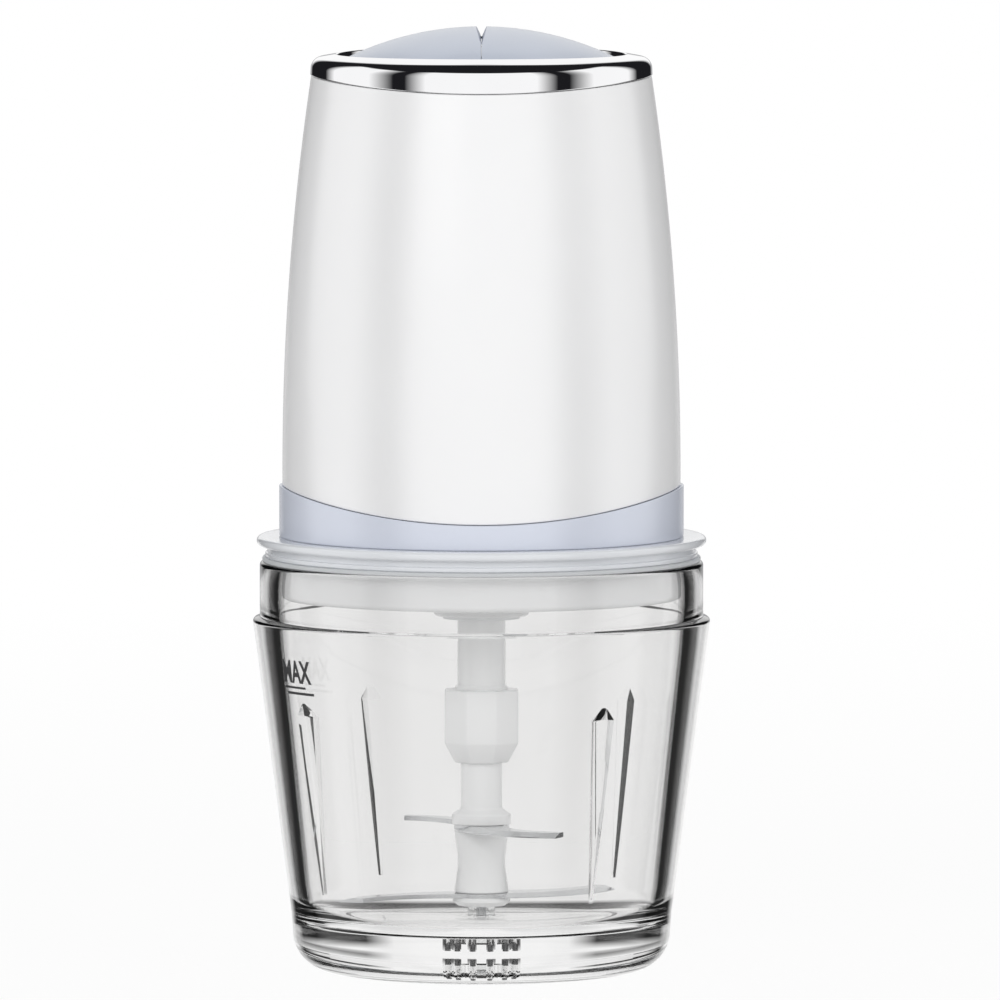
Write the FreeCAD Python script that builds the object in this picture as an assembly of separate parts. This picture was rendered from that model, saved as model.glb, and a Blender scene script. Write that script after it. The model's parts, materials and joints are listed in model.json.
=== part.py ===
# Mini food processor: a glass bowl, its lid, the cutters, and the motor unit that stands on the lid.
# Millimetres, +Z up, front at -Y. The origin is the middle of the underside of the bowl.
import FreeCAD
import Part
import math
import os

Vector = FreeCAD.Vector

# ---- driving dimensions -------------------------------------------------------------------------

# bowl
bowl_rim_height = 110.7
bowl_floor_thickness = 12.6
bowl_foot_inset = 1.1
bowl_waist_radius = 51.4
bowl_waist_height = 15.4
bowl_shoulder_step = 2.0
bowl_collar_height = 15.0
bowl_collar_radius = 59.9
bowl_collar_wall = 4.9
bowl_wall = 4.6
bowl_corner_radius = 10.0
bowl_inner_corner_radius = 8.5
punt_depth = 1.2
punt_radius = 37.0
rib_angles = [38.0, 127.0, 212.0, 306.5]
rib_low = 23.0
rib_ridge_height = 71.5
rib_point_height = 76.5
rib_depth = 2.2
rib_half_width = 4.0
rib_ridge_half_width = 2.2
rib_foot_depth = 0.9
rib_foot_half_width = 0.7
rib_foot_ridge_half_width = 0.3

# floor post and the pin in it
post_radius = 3.7
post_height = 10.6
post_socket_depth = 3.0
pivot_pin_radius = 1.35
pivot_pin_sink = 2.0

# lid
seal_thickness = 1.2
lip_inset = 1.5
lip_height = 1.3
neck_inset = 2.1
neck_height = 1.8
flange_overhang = 0.8
flange_thickness = 2.4
lid_wall = 2.0
skirt_gap = 1.0
skirt_depth = 9.7
well_radius = 38.5
well_step = 1.3
boss_wall = 4.4
boss_depth = 3.9
bush_flange_step = 1.9
bush_wall = 2.0
bush_flange_thickness = 1.0
key_angles = [90.0, 210.0, 330.0]
key_width = 4.0
key_depth = 1.4

# cutters
spindle_tube_radius = 6.5
spindle_stem_radius = 5.6
hub_radius = 9.9
hub_length = 19.8
hub_drop = 22.7
hub_bevel = 4.6
hub_sides = 8
nub_flats = 7.0
nub_length = 7.7
stem_lift = 5.0
blade_thickness = 1.3
lower_blade_lift = 7.8
blade_spacing = 18.6
stem_wall = 1.0
blade_grip_step = 3.3
blade_grip_height = 2.8
lower_blade_reach = 42.0
upper_blade_reach = 38.0
blade_root_width = 15.0
blade_bevel_width = 3.2
spacer_wall = 2.7

# motor unit, outside
spigot_depth = 13.4
spigot_gap = 1.6
plate_thickness = 3.0
plate_hole_radius = 12.0
collar_step = 0.85
collar_wall = 2.0
tongue_rise = 20.6
housing_radius = 53.75
housing_widest_rise = 17.6
housing_top_radius = 45.9
housing_height = 124.3
housing_wall = 2.4
collar_seam_rise = 14.1
collar_seam_dip = 7.2
ring_seam_dip = 3.0
seam_gap = 0.15
ring_height = 5.8
ring_shoulder_radius = 4.4
ring_wall = 2.4
ring_lip_thickness = 2.1
ring_hook_width = 7.0
dome_radius = 82.6
dome_rise = 7.4
button_radius = 38.2
button_wall = 2.0
button_skirt_drop = 9.0
button_notch_width = 2.9
button_notch_depth = 4.0
button_split = 0.4
button_travel = 3.0
stem_offset = 18.0
stem_radius = 4.0
deck_drop = 15.5
deck_thickness = 2.5
ledge_width = 5.0
ledge_thickness = 2.5
button_spring_radius = 6.0
button_spring_wire = 1.0
button_spring_turns = 4
button_seat_drop = 3.5
cord_hole_radius = 4.0
cord_hole_rise = 32.6
cord_bore_radius = 2.9
housing_boss_angles = [20.0, 160.0, 200.0, 340.0]
housing_boss_radius = 3.5
housing_boss_ring = 43.9
housing_boss_rise = 42.6
pillar_angles = [45.0, 135.0, 225.0, 315.0]
pillar_ring = 37.0
pillar_radius = 4.0
mount_height = 5.5
mount_radius = 5.0
vent_count = 12
vent_width = 3.0
vent_low_radius = 30.0
vent_high_radius = 45.0

# switches and board
plunger_radius = 2.0
switch_width = 11.0
switch_length = 20.0
switch_height = 11.5
switch_gap = 6.4
switch_sheet = 1.5
board_lift = 4.0
board_thickness = 1.6
board_width = 64.0
board_length = 50.0

# reduction gear
gear_module = 0.8
pressure_angle = 25.0
sun_teeth = 12
planet_teeth = 18
planet_count = 3
gear_thickness = 6.0
tooth_backlash = 0.10
tooth_addendum = 0.8
tooth_dedendum = 1.05
coupling_gap = 0.76
coupling_length = 10.0
coupling_web = 2.4
output_shaft_radius = 5.0
output_bearing_radius = 8.0
output_bearing_length = 6.0
carrier_rim = 2.5
carrier_thickness = 2.4
planet_pin_radius = 2.0
ring_gear_rim = 4.4
case_wall = 3.4
case_floor = 3.0
cover_thickness = 2.0
gear_lug_angles = [60.0, 120.0, 240.0, 300.0]
gear_lug_step = 3.2
gear_lug_radius = 3.4

# motor
shaft_radius = 4.0
shaft_nose_radius = 2.5
shaft_end = 5.0
bracket_thickness = 4.0
bearing_radius = 11.0
bearing_length = 5.5
fan_radius = 23.5
fan_height = 6.0
fan_blades = 9
stator_width = 62.0
stator_length = 68.0
stator_corner = 5.0
stator_height = 26.0
window_width = 46.0
window_length = 52.0
pole_width = 18.0
air_gap = 0.6
armature_radius = 16.0
armature_slots = 12
slot_radius = 1.8
slot_ring = 12.4
winding_height = 6.0
winding_radius = 14.4
coil_thickness = 5.5
commutator_radius = 11.0
commutator_gap = 3.3
commutator_height = 12.0
commutator_bars = 24
brush_width = 5.0
brush_thickness = 6.0
brush_length = 13.0
brush_tube_wall = 1.5
brush_tube_end = 30.0
upper_bracket_gap = 4.0
upper_bracket_thickness = 2.5
screw_x = 26.5
screw_y = 29.5
screw_post_radius = 3.5

# clearances
run_clearance = 0.06
seat_clearance = 0.1
slide_clearance = 0.3
free_clearance = 0.5

# ---- sizes worked out from them -----------------------------------------------------------------

floor_top = bowl_floor_thickness
bowl_foot_radius = bowl_waist_radius - bowl_foot_inset
bowl_shoulder_radius = bowl_collar_radius + bowl_shoulder_step
shoulder_height = bowl_rim_height - bowl_collar_height
collar_inner_radius = bowl_collar_radius - bowl_collar_wall
waist_inner_radius = bowl_waist_radius - bowl_wall
post_top = floor_top + post_height

lip_radius = bowl_collar_radius - lip_inset
neck_radius = bowl_collar_radius - neck_inset
flange_radius = bowl_collar_radius + flange_overhang
lip_low = bowl_rim_height + seal_thickness
neck_low = lip_low + lip_height
flange_low = neck_low + neck_height
flange_top = flange_low + flange_thickness
skirt_radius = collar_inner_radius - skirt_gap
skirt_inner_radius = skirt_radius - lid_wall
skirt_low = bowl_rim_height - skirt_depth
well_low = skirt_low - well_step
boss_low = well_low - boss_depth
well_top = well_low + lid_wall
bush_bore = spindle_tube_radius + run_clearance
bush_radius = bush_bore + bush_wall
bush_flange_radius = bush_radius + bush_flange_step
boss_radius = bush_radius + boss_wall
tube_top = well_low - 0.4
nub_top = tube_top + nub_length
hub_high = well_low - hub_drop
hub_low = hub_high - hub_length
blade_seat_radius = post_radius + stem_wall
blade_grip_radius = blade_seat_radius + blade_grip_step
spacer_radius = blade_seat_radius + spacer_wall
stem_low = floor_top + stem_lift
lower_blade_height = floor_top + lower_blade_lift
upper_blade_height = lower_blade_height + blade_spacing

spigot_radius = skirt_inner_radius - spigot_gap
spigot_low = flange_top - spigot_depth
plate_top = spigot_low + plate_thickness
collar_radius = housing_radius + collar_step
tongue_radius = housing_radius - housing_wall - slide_clearance
tongue_inner_radius = tongue_radius - collar_wall
tongue_height = flange_top + tongue_rise
collar_seam_height = flange_top + collar_seam_rise
housing_widest_height = flange_top + housing_widest_rise
housing_top_height = flange_top + housing_height
housing_boss_top = flange_top + housing_boss_rise
cord_hole_height = flange_top + cord_hole_rise
ring_top_height = housing_top_height + ring_height
dome_top_height = ring_top_height + dome_rise
deck_low = ring_top_height - deck_drop
deck_top = deck_low + deck_thickness
ledge_top = deck_low
button_skirt_low = ring_top_height - button_skirt_drop
button_spring_top = ring_top_height - button_seat_drop
guide_radius = button_radius + slide_clearance
ring_sleeve_radius = housing_top_radius - housing_wall - slide_clearance
ring_inner_radius = button_radius + 0.4

coupling_radius = bush_radius - coupling_gap
coupling_low = well_low + 0.3
coupling_top = coupling_low + coupling_length
output_bearing_low = coupling_top + 0.4
case_floor_top = output_bearing_low + output_bearing_length
case_floor_low = case_floor_top - case_floor
carrier_low = case_floor_top + free_clearance
carrier_top = carrier_low + carrier_thickness
gear_low = carrier_top + free_clearance
gear_top = gear_low + gear_thickness
case_top = gear_top + 2.5
cover_top = case_top + cover_thickness
ring_teeth = sun_teeth + 2 * planet_teeth
planet_ring = gear_module * (sun_teeth + planet_teeth) / 2
carrier_radius = planet_ring + planet_pin_radius + carrier_rim
case_inner_radius = gear_module * ring_teeth / 2 + ring_gear_rim
case_radius = case_inner_radius + case_wall
gear_lug_ring = case_radius + gear_lug_step

bracket_low = cover_top
bracket_top = bracket_low + bracket_thickness
lower_bearing_low = bracket_low + 1.2
lower_boss_top = lower_bearing_low + bearing_length + 0.3
fan_low = lower_boss_top + 0.7
fan_top = fan_low + fan_height
winding_low = fan_top + 1.0
stack_low = winding_low + winding_height + 0.2
stack_top = stack_low + stator_height
pole_bore = armature_radius + air_gap
pillar_top = bracket_low - mount_height
commutator_low = stack_top + winding_height + commutator_gap
commutator_top = commutator_low + commutator_height
brush_height = commutator_low + commutator_height / 2
brush_tip = commutator_radius + 0.15
upper_bracket_height = commutator_top + upper_bracket_gap
upper_bearing_low = upper_bracket_height - 2.0
upper_boss_top = upper_bearing_low + bearing_length + 0.3
shaft_top = upper_bracket_height + shaft_end

board_height = upper_bracket_height + upper_bracket_thickness + board_lift
switch_low = board_height + switch_gap
switch_high = switch_low + switch_height
stem_low_end = switch_high + button_travel + 0.7

# ---- shapes -------------------------------------------------------------------------------------


def disc(radius, low, high, x=0.0, y=0.0):
    return Part.makeCylinder(radius, high - low, Vector(x, y, low))


def tube(outer, inner, low, high, x=0.0, y=0.0):
    return disc(outer, low, high, x, y).cut(disc(inner, low - 1, high + 1, x, y))


def block(width, length, low, high, x=0.0, y=0.0):
    corner = Vector(x - width / 2, y - length / 2, low)
    return Part.makeBox(width, length, high - low, corner)


def turned(shape, angle):
    copy = shape.copy()
    copy.rotate(Vector(0, 0, 0), Vector(0, 0, 1), angle)
    return copy


def moved(shape, x=0.0, y=0.0, z=0.0):
    copy = shape.copy()
    copy.translate(Vector(x, y, z))
    return copy


def fused(shapes):
    return shapes[0].multiFuse(shapes[1:]).removeSplitter()


def at_angle(ring, angle):
    return ring * math.cos(math.radians(angle)), ring * math.sin(math.radians(angle))


def rounded_wire(corners, place):
    """Closed outline through corners of (a, b, radius); place turns (a, b) into a point."""
    ends = []
    count = len(corners)
    for index in range(count):
        a, b, radius = corners[index]
        here = Vector(a, b, 0)
        before = Vector(corners[index - 1][0], corners[index - 1][1], 0) - here
        after = Vector(corners[(index + 1) % count][0], corners[(index + 1) % count][1], 0) - here
        before.normalize()
        after.normalize()
        half_turn = before.getAngle(after) / 2
        if radius == 0:
            ends.append((here, here, here))
            continue
        reach = radius / math.tan(half_turn)
        middle = before + after
        middle.normalize()
        peak = here + middle * (radius / math.sin(half_turn) - radius)
        ends.append((here + before * reach, peak, here + after * reach))
    edges = []
    for index in range(count):
        start, peak, end = ends[index]
        if (end - start).Length > 1e-6:
            edges.append(Part.Arc(place(start), place(peak), place(end)).toShape())
        following = ends[(index + 1) % count][0]
        if (following - end).Length > 1e-6:
            edges.append(Part.LineSegment(place(end), place(following)).toShape())
    return Part.Wire(edges)


def spun(corners):
    """Solid of revolution about Z from corners of (radius, height, rounding)."""
    face = Part.Face(rounded_wire(corners, lambda point: Vector(point.x, 0, point.y)))
    return face.revolve(Vector(0, 0, 0), Vector(0, 0, 1), 360)


def plate(width, length, corner, low, high):
    half_x = width / 2
    half_y = length / 2
    corners = [(-half_x, -half_y, corner), (half_x, -half_y, corner),
               (half_x, half_y, corner), (-half_x, half_y, corner)]
    face = Part.Face(rounded_wire(corners, lambda point: Vector(point.x, point.y, low)))
    return face.extrude(Vector(0, 0, high - low))


def hexagon(flats, low, high, sides=6):
    radius = flats / 2 / math.cos(math.pi / sides)
    points = []
    for side in range(sides + 1):
        angle = 2 * math.pi * (side + 0.5) / sides
        points.append(Vector(radius * math.cos(angle), radius * math.sin(angle), low))
    return Part.Face(Part.makePolygon(points)).extrude(Vector(0, 0, high - low))


def coil(mean_radius, wire, turns, low, high, x=0.0, y=0.0):
    """Helical spring of eight-sided wire that just reaches the planes low and high."""
    rise = high - low - wire
    helix = Part.makeHelix(rise / turns, rise, mean_radius)
    corners = []
    for number in range(9):
        turn = math.radians(45 * (number % 8))
        across = wire / 2 * math.cos(turn)
        corners.append(Vector(mean_radius + across, 0, wire / 2 * math.sin(turn)))
    spring = Part.Wire(helix).makePipeShell([Part.makePolygon(corners)], True, True)
    return moved(spring, x, y, low + wire / 2)


def save(node, shape):
    shape.exportStep("parts/" + node + ".step")


def save_group(node, shapes):
    save(node, Part.makeCompound(shapes))


# ---- bowl ---------------------------------------------------------------------------------------


def inner_wall_radius(height):
    slope = (collar_inner_radius - waist_inner_radius) / (shoulder_height - bowl_waist_height)
    return waist_inner_radius + slope * (height - bowl_waist_height)


def rib_corner(height, inward, side):
    return Vector(inner_wall_radius(height) - inward, side, height)


def bowl_rib():
    """Pointed rib on the inner wall: a flat-topped ridge that narrows downwards, with a roof-shaped top."""
    sink = -1.0
    point = rib_corner(rib_point_height, sink, 0)
    wall = [rib_corner(rib_ridge_height, sink, side * rib_half_width) for side in (1, -1)]
    ridge = [rib_corner(rib_ridge_height, rib_depth, side * rib_ridge_half_width) for side in (1, -1)]
    foot_wall = [rib_corner(rib_low, sink, side * rib_foot_half_width) for side in (1, -1)]
    foot_ridge = [rib_corner(rib_low, rib_foot_depth, side * rib_foot_ridge_half_width) for side in (1, -1)]
    sides = [
        [point, wall[0], foot_wall[0], foot_wall[1], wall[1]],
        [point, ridge[0], wall[0]],
        [point, ridge[1], ridge[0]],
        [point, wall[1], ridge[1]],
        [ridge[0], ridge[1], foot_ridge[1], foot_ridge[0]],
        [foot_ridge[0], foot_ridge[1], foot_wall[1], foot_wall[0]],
    ]
    for index in (0, 1):
        sides.append([wall[index], ridge[index], foot_wall[index]])
        sides.append([ridge[index], foot_ridge[index], foot_wall[index]])
    faces = [Part.Face(Part.makePolygon(corners + corners[:1])) for corners in sides]
    return Part.makeSolid(Part.makeShell(faces))


def make_bowl():
    corner_inner_radius = inner_wall_radius(floor_top)
    body = spun([
        (0, punt_depth, 0),
        (punt_radius, punt_depth, 1.0),
        (punt_radius + punt_depth, 0, 0.8),
        (bowl_foot_radius, 0, bowl_corner_radius),
        (bowl_waist_radius, bowl_waist_height, 12.0),
        (bowl_shoulder_radius, shoulder_height - 0.6, 1.6),
        (bowl_collar_radius, shoulder_height, 0.6),
        (bowl_collar_radius, bowl_rim_height, 1.2),
        (collar_inner_radius, bowl_rim_height, 1.2),
        (collar_inner_radius, shoulder_height, 6.0),
        (corner_inner_radius, floor_top, bowl_inner_corner_radius),
        (0, floor_top, 0),
    ])
    ribs = [turned(bowl_rib(), angle) for angle in rib_angles]
    socket = disc(post_radius + seat_clearance, floor_top - post_socket_depth, floor_top + 1)
    return fused([body] + ribs).cut(socket)


def make_post():
    low = floor_top - post_socket_depth
    shaft = spun([(0, low, 0), (post_radius, low, 0), (post_radius, post_top, 0.5), (0, post_top, 0)])
    return shaft.cut(disc(pivot_pin_radius + 0.05, low + pivot_pin_sink, post_top + 1))


def make_pivot_pin():
    low = floor_top - post_socket_depth + pivot_pin_sink
    top = post_top + 0.3
    return spun([(0, low, 0), (pivot_pin_radius, low, 0), (pivot_pin_radius, top, 0.6), (0, top, 0)])


# ---- lid ----------------------------------------------------------------------------------------


def make_lid():
    body = spun([
        (skirt_inner_radius, flange_top, 0.6),
        (flange_radius, flange_top, 1.1),
        (flange_radius, flange_low, 1.1),
        (neck_radius, flange_low, 0.3),
        (neck_radius, neck_low, 0),
        (lip_radius, neck_low, 0.4),
        (lip_radius, lip_low, 0.4),
        (skirt_radius, lip_low, 0),
        (skirt_radius, skirt_low, 1.6),
        (well_radius + well_step, skirt_low, 0.6),
        (well_radius, well_low, 0.8),
        (boss_radius, well_low, 0.8),
        (boss_radius, boss_low, 1.2),
        (bush_radius, boss_low, 0),
        (bush_radius, well_top, 0),
        (well_radius - lid_wall, well_top, 0.6),
        (well_radius - lid_wall + well_step, well_top + well_step, 0.6),
        (skirt_inner_radius, well_top + well_step, 1.2),
    ])
    key_reach = skirt_inner_radius + lid_wall / 2
    key = block(key_depth + lid_wall / 2, key_width, well_top + well_step, flange_top - 3,
                key_reach - (key_depth + lid_wall / 2) / 2)
    return fused([body] + [turned(key, angle) for angle in key_angles])


def make_seal():
    inner = skirt_radius + 0.2
    outer = bowl_collar_radius - 0.7
    return spun([
        (inner, bowl_rim_height, 0.2),
        (outer, bowl_rim_height, 0.45),
        (outer, lip_low, 0.45),
        (inner, lip_low, 0.2),
    ])


def make_bush():
    flange_low_end = boss_low - bush_flange_thickness
    return spun([
        (bush_bore, flange_low_end, 0),
        (bush_flange_radius, flange_low_end, 0.4),
        (bush_flange_radius, boss_low, 0.2),
        (bush_radius, boss_low, 0),
        (bush_radius, well_low - 0.2, 0),
        (bush_bore, well_low - 0.2, 0),
    ])


# ---- cutters ------------------------------------------------------------------------------------


def make_spindle():
    grip_low = upper_blade_height + blade_thickness
    grip_top = grip_low + blade_grip_height
    seat = blade_seat_radius
    stem = spun([
        (0, stem_low, 0),
        (seat, stem_low, 0.3),
        (seat, grip_low, 0),
        (blade_grip_radius, grip_low, 0.4),
        (blade_grip_radius, grip_top, 0.8),
        (spindle_stem_radius, grip_top + 1.5, 1.0),
        (spindle_stem_radius, hub_low + 1, 0),
        (0, hub_low + 1, 0),
    ])
    bevelled = spun([
        (0, hub_low, 0),
        (hub_radius - hub_bevel * 0.6, hub_low, 0),
        (hub_radius * 1.09, hub_low + hub_bevel * 1.2, 0),
        (hub_radius * 1.09, hub_high, 0),
        (0, hub_high, 0),
    ])
    hub = hexagon(2 * hub_radius, hub_low, hub_high, hub_sides).common(bevelled)
    upper_tube = spun([
        (0, hub_high - 1, 0),
        (spindle_tube_radius, hub_high - 1, 0),
        (spindle_tube_radius, tube_top, 0.5),
        (0, tube_top, 0),
    ])
    collar = disc(spindle_tube_radius + 0.6, hub_high - 1, hub_high + 0.7)
    nub = hexagon(nub_flats, tube_top - 1, nub_top)
    bore = disc(post_radius + run_clearance, stem_low - 1, post_top + 0.6)
    return fused([stem, hub, collar, upper_tube, nub]).cut(bore)


def blade_arm(reach, low):
    """One arm: a swept, sabre-shaped plate whose convex edge is ground to a bevel."""
    half = blade_root_width / 2
    tip = Vector(reach, half * 0.9, low)
    tip_back = Vector(reach - 5.0, half * 1.45, low)
    root_front = Vector(0, -half, low)
    root_back = Vector(0, half, low)
    front = Part.Arc(root_front, Vector(reach * 0.62, -half * 0.72, low), tip).toShape()
    end = Part.LineSegment(tip, tip_back).toShape()
    back = Part.Arc(tip_back, Vector(reach * 0.45, half * 0.35, low), root_back).toShape()
    root = Part.LineSegment(root_back, root_front).toShape()
    face = Part.Face(Part.Wire([front, end, back, root]))
    solid = face.extrude(Vector(0, 0, blade_thickness))
    top = low + blade_thickness
    edges = [edge for edge in solid.Edges
             if edge.BoundBox.ZMin > top - 0.01 and abs(edge.Length - front.Length) < 0.01]
    return solid.makeChamfer(blade_thickness * 0.8, blade_bevel_width, edges)


def make_blade(reach, low, start_angle):
    arm = blade_arm(reach, low)
    hub = disc(blade_root_width / 2, low, low + blade_thickness)
    body = fused([arm, turned(arm, 180), hub])
    body = body.cut(disc(blade_seat_radius + seat_clearance, low - 1, low + blade_thickness + 1))
    return turned(body, start_angle)


def make_spacer():
    low = lower_blade_height + blade_thickness
    inner = blade_seat_radius + seat_clearance
    middle = (low + upper_blade_height) / 2
    return spun([
        (inner, low, 0),
        (spacer_radius, low, 0.6),
        (spacer_radius - 1.2, middle, 20.0),
        (spacer_radius, upper_blade_height, 0.6),
        (inner, upper_blade_height, 0),
    ])


def make_retainer():
    inner = blade_seat_radius + seat_clearance
    return spun([
        (inner, stem_low, 0),
        (spacer_radius - 1.0, stem_low, 0.6),
        (spacer_radius + 0.4, stem_low + 1.4, 0.4),
        (spacer_radius + 0.4, lower_blade_height, 0.3),
        (inner, lower_blade_height, 0),
    ])


# ---- motor unit, outside ------------------------------------------------------------------------

housing_rise = housing_top_height - housing_widest_height
housing_drop = housing_radius - housing_top_radius
housing_bow = (housing_rise ** 2 + housing_drop ** 2) / (2 * housing_drop)


def housing_radius_at(height):
    rise = height - housing_widest_height
    return housing_radius - housing_bow + math.sqrt(housing_bow ** 2 - rise ** 2)


def barrel(inset, low, high):
    """Solid of the housing's barrel shape, its side moved inwards by inset."""
    middle = (low + high) / 2
    side_low = Vector(housing_radius_at(low) - inset, 0, low)
    side_middle = Vector(housing_radius_at(middle) - inset, 0, middle)
    side_high = Vector(housing_radius_at(high) - inset, 0, high)
    edges = [
        Part.LineSegment(Vector(0, 0, low), side_low).toShape(),
        Part.Arc(side_low, side_middle, side_high).toShape(),
        Part.LineSegment(side_high, Vector(0, 0, high)).toShape(),
        Part.LineSegment(Vector(0, 0, high), Vector(0, 0, low)).toShape(),
    ]
    face = Part.Face(Part.Wire(edges))
    return face.revolve(Vector(0, 0, 0), Vector(0, 0, 1), 360)


def above_seam(side_height, dip, half_width, grow=0.0):
    """Everything above a seam that dips by dip in front and behind: a wide cylinder along Y."""
    radius = (half_width ** 2 + dip ** 2) / (2 * dip)
    centre = side_height - dip + radius
    return Part.makeCylinder(radius + grow, 200, Vector(0, -100, centre), Vector(0, 1, 0))


def above_collar_seam(grow=0.0):
    return above_seam(collar_seam_height, collar_seam_dip, collar_radius, grow)


def above_ring_seam(grow=0.0):
    return above_seam(housing_top_height, ring_seam_dip, housing_top_radius, grow)


def make_base_collar():
    band = tube(collar_radius, tongue_radius - 0.5, flange_top, collar_seam_height + 1)
    lower_edge = [edge for edge in band.Edges
                  if edge.BoundBox.ZMax < flange_top + 0.01 and edge.BoundBox.XMax > collar_radius - 0.1]
    band = band.makeFillet(0.5, lower_edge).cut(above_collar_seam(seam_gap))
    cup = spun([
        (plate_hole_radius, spigot_low, 0),
        (spigot_radius, spigot_low, 1.0),
        (spigot_radius, flange_top, 0),
        (tongue_radius, flange_top, 0),
        (tongue_radius, tongue_height, 0.6),
        (tongue_inner_radius, tongue_height, 0.6),
        (tongue_inner_radius, flange_top + collar_wall, 0),
        (spigot_radius - collar_wall, flange_top + collar_wall, 0),
        (spigot_radius - collar_wall, plate_top, 1.0),
        (plate_hole_radius, plate_top, 0),
    ])
    shapes = [cup, band]
    for angle in pillar_angles:
        x, y = at_angle(pillar_ring, angle)
        shapes.append(disc(pillar_radius, plate_top - 1, pillar_top, x, y))
    body = fused(shapes)
    cuts = []
    for index in range(vent_count):
        slot = block(vent_high_radius - vent_low_radius, vent_width, spigot_low - 1, plate_top + 1,
                     (vent_low_radius + vent_high_radius) / 2)
        cuts.append(turned(slot, index * 360 / vent_count))
    for angle in housing_boss_angles:
        x, y = at_angle(housing_boss_ring, angle)
        cuts.append(disc(1.8, spigot_low - 1, plate_top + 1, x, y))
        cuts.append(disc(3.3, spigot_low - 1, spigot_low + 1.4, x, y))
    keyway_depth = key_depth + skirt_inner_radius - spigot_radius + free_clearance
    for angle in key_angles:
        keyway = block(2 * keyway_depth, key_width + 2 * free_clearance, spigot_low - 1,
                       flange_top - 3 + free_clearance, spigot_radius)
        cuts.append(turned(keyway, angle))
    return body.cut(Part.makeCompound(cuts))


def hook_box(inner, outer, low, high, width, angle):
    return turned(block(outer - inner, width, low, high, (inner + outer) / 2), angle)


def make_housing():
    shell = barrel(0, flange_top, housing_top_height + 2)
    shell = shell.cut(barrel(housing_wall, flange_top - 5, housing_top_height + 5))
    shell = shell.common(above_collar_seam()).cut(above_ring_seam())
    ledge_inner = housing_radius_at(ledge_top) - housing_wall - ledge_width
    ledge = disc(housing_top_radius + 9, ledge_top - ledge_thickness, ledge_top)
    ledge = ledge.cut(disc(ledge_inner, ledge_top - 9, ledge_top + 9))
    ledge = ledge.common(barrel(0.6, flange_top, housing_top_height))
    shapes = [shell, ledge]
    for angle in housing_boss_angles:
        x, y = at_angle(housing_boss_ring, angle)
        shapes.append(disc(housing_boss_radius, plate_top, housing_boss_top, x, y))
        shapes.append(hook_box(housing_boss_ring + 2, housing_radius - 1.2, tongue_height + 1,
                               housing_boss_top, 2.4, angle))
    body = fused(shapes)
    cuts = [Part.makeCylinder(cord_hole_radius, 20, Vector(0, housing_radius - 10, cord_hole_height),
                              Vector(0, 1, 0))]
    for angle in housing_boss_angles:
        x, y = at_angle(housing_boss_ring, angle)
        cuts.append(disc(1.5, plate_top - 1, plate_top + 14, x, y))
    for angle in pillar_angles:
        cuts.append(hook_box(ledge_inner - 1, ring_sleeve_radius + 0.4, ledge_top - 9, ledge_top + 1,
                             ring_hook_width + 1, angle))
    return body.cut(Part.makeCompound(cuts))


def make_cord_gland():
    back = housing_radius_at(cord_hole_height)
    along = Vector(0, 1, 0)
    inside = back - housing_wall - 2.2
    outside = back + 1.6
    neck = Part.makeCylinder(cord_hole_radius - 0.05, outside - inside,
                             Vector(0, inside, cord_hole_height), along)
    outer_flange = Part.makeCylinder(cord_hole_radius + 2.2, outside - back + 1,
                                     Vector(0, back - 1, cord_hole_height), along)
    outer_flange = outer_flange.cut(barrel(-0.02, flange_top, housing_top_height))
    inner_flange = Part.makeCylinder(cord_hole_radius + 2.2, 1.6, Vector(0, inside, cord_hole_height), along)
    bore = Part.makeCylinder(cord_bore_radius, 20, Vector(0, inside - 5, cord_hole_height), along)
    return fused([neck, outer_flange, inner_flange]).cut(bore)


def make_chrome_ring():
    outer = housing_radius_at(housing_top_height - ring_seam_dip)
    lip_low_edge = ring_top_height - ring_lip_thickness
    crown = spun([
        (ring_sleeve_radius - 1, housing_top_height - ring_seam_dip - 1, 0),
        (outer, housing_top_height - ring_seam_dip - 1, 0),
        (housing_top_radius, ring_top_height, ring_shoulder_radius),
        (ring_inner_radius, ring_top_height, 0.7),
        (ring_inner_radius, lip_low_edge, 0.3),
        (ring_sleeve_radius - 1, lip_low_edge, 0),
    ])
    crown = crown.common(above_ring_seam(-seam_gap))
    sleeve = tube(ring_sleeve_radius, guide_radius + ring_wall + 0.6, deck_top + 1, lip_low_edge + 0.5)
    shapes = [crown, sleeve]
    hook_low = ledge_top - ledge_thickness - 1.6
    for angle in pillar_angles:
        shapes.append(hook_box(guide_radius + ring_wall + 0.6, ring_sleeve_radius, hook_low,
                               deck_top + 2, ring_hook_width, angle))
        shapes.append(hook_box(ring_sleeve_radius - 0.2, ring_sleeve_radius + 1.2, hook_low,
                               hook_low + 1.4, ring_hook_width, angle))
    return fused(shapes)


def make_deck():
    plate_radius = housing_radius_at(deck_top) - housing_wall - slide_clearance
    shapes = [
        disc(plate_radius, deck_low, deck_top),
        tube(guide_radius + ring_wall, guide_radius, deck_low, ring_top_height - ring_lip_thickness - 0.4),
    ]
    for side in (-1, 1):
        seat = tube(stem_radius + 1.2, stem_radius + run_clearance, deck_low - 3, deck_top,
                    side * stem_offset)
        shapes.append(seat)
    body = fused(shapes)
    cuts = [disc(stem_radius + run_clearance, deck_low - 4, deck_top + 1, side * stem_offset)
            for side in (-1, 1)]
    for angle in pillar_angles:
        cuts.append(hook_box(guide_radius + ring_wall + 0.2, plate_radius + 2, deck_low - 1, deck_top + 1,
                             ring_hook_width + 1, angle))
    return body.cut(Part.makeCompound(cuts))


def dome(radius_offset, low):
    centre = dome_top_height - dome_radius
    ball = Part.makeSphere(dome_radius - radius_offset, Vector(0, 0, centre))
    return ball.common(disc(button_radius - radius_offset, low, dome_top_height + 1))


def half_space(start):
    """Everything to the right of x = start, round the buttons."""
    size = 3 * button_radius
    return block(size, size, stem_low_end - 10, dome_top_height + 10, start + size / 2)


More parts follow.
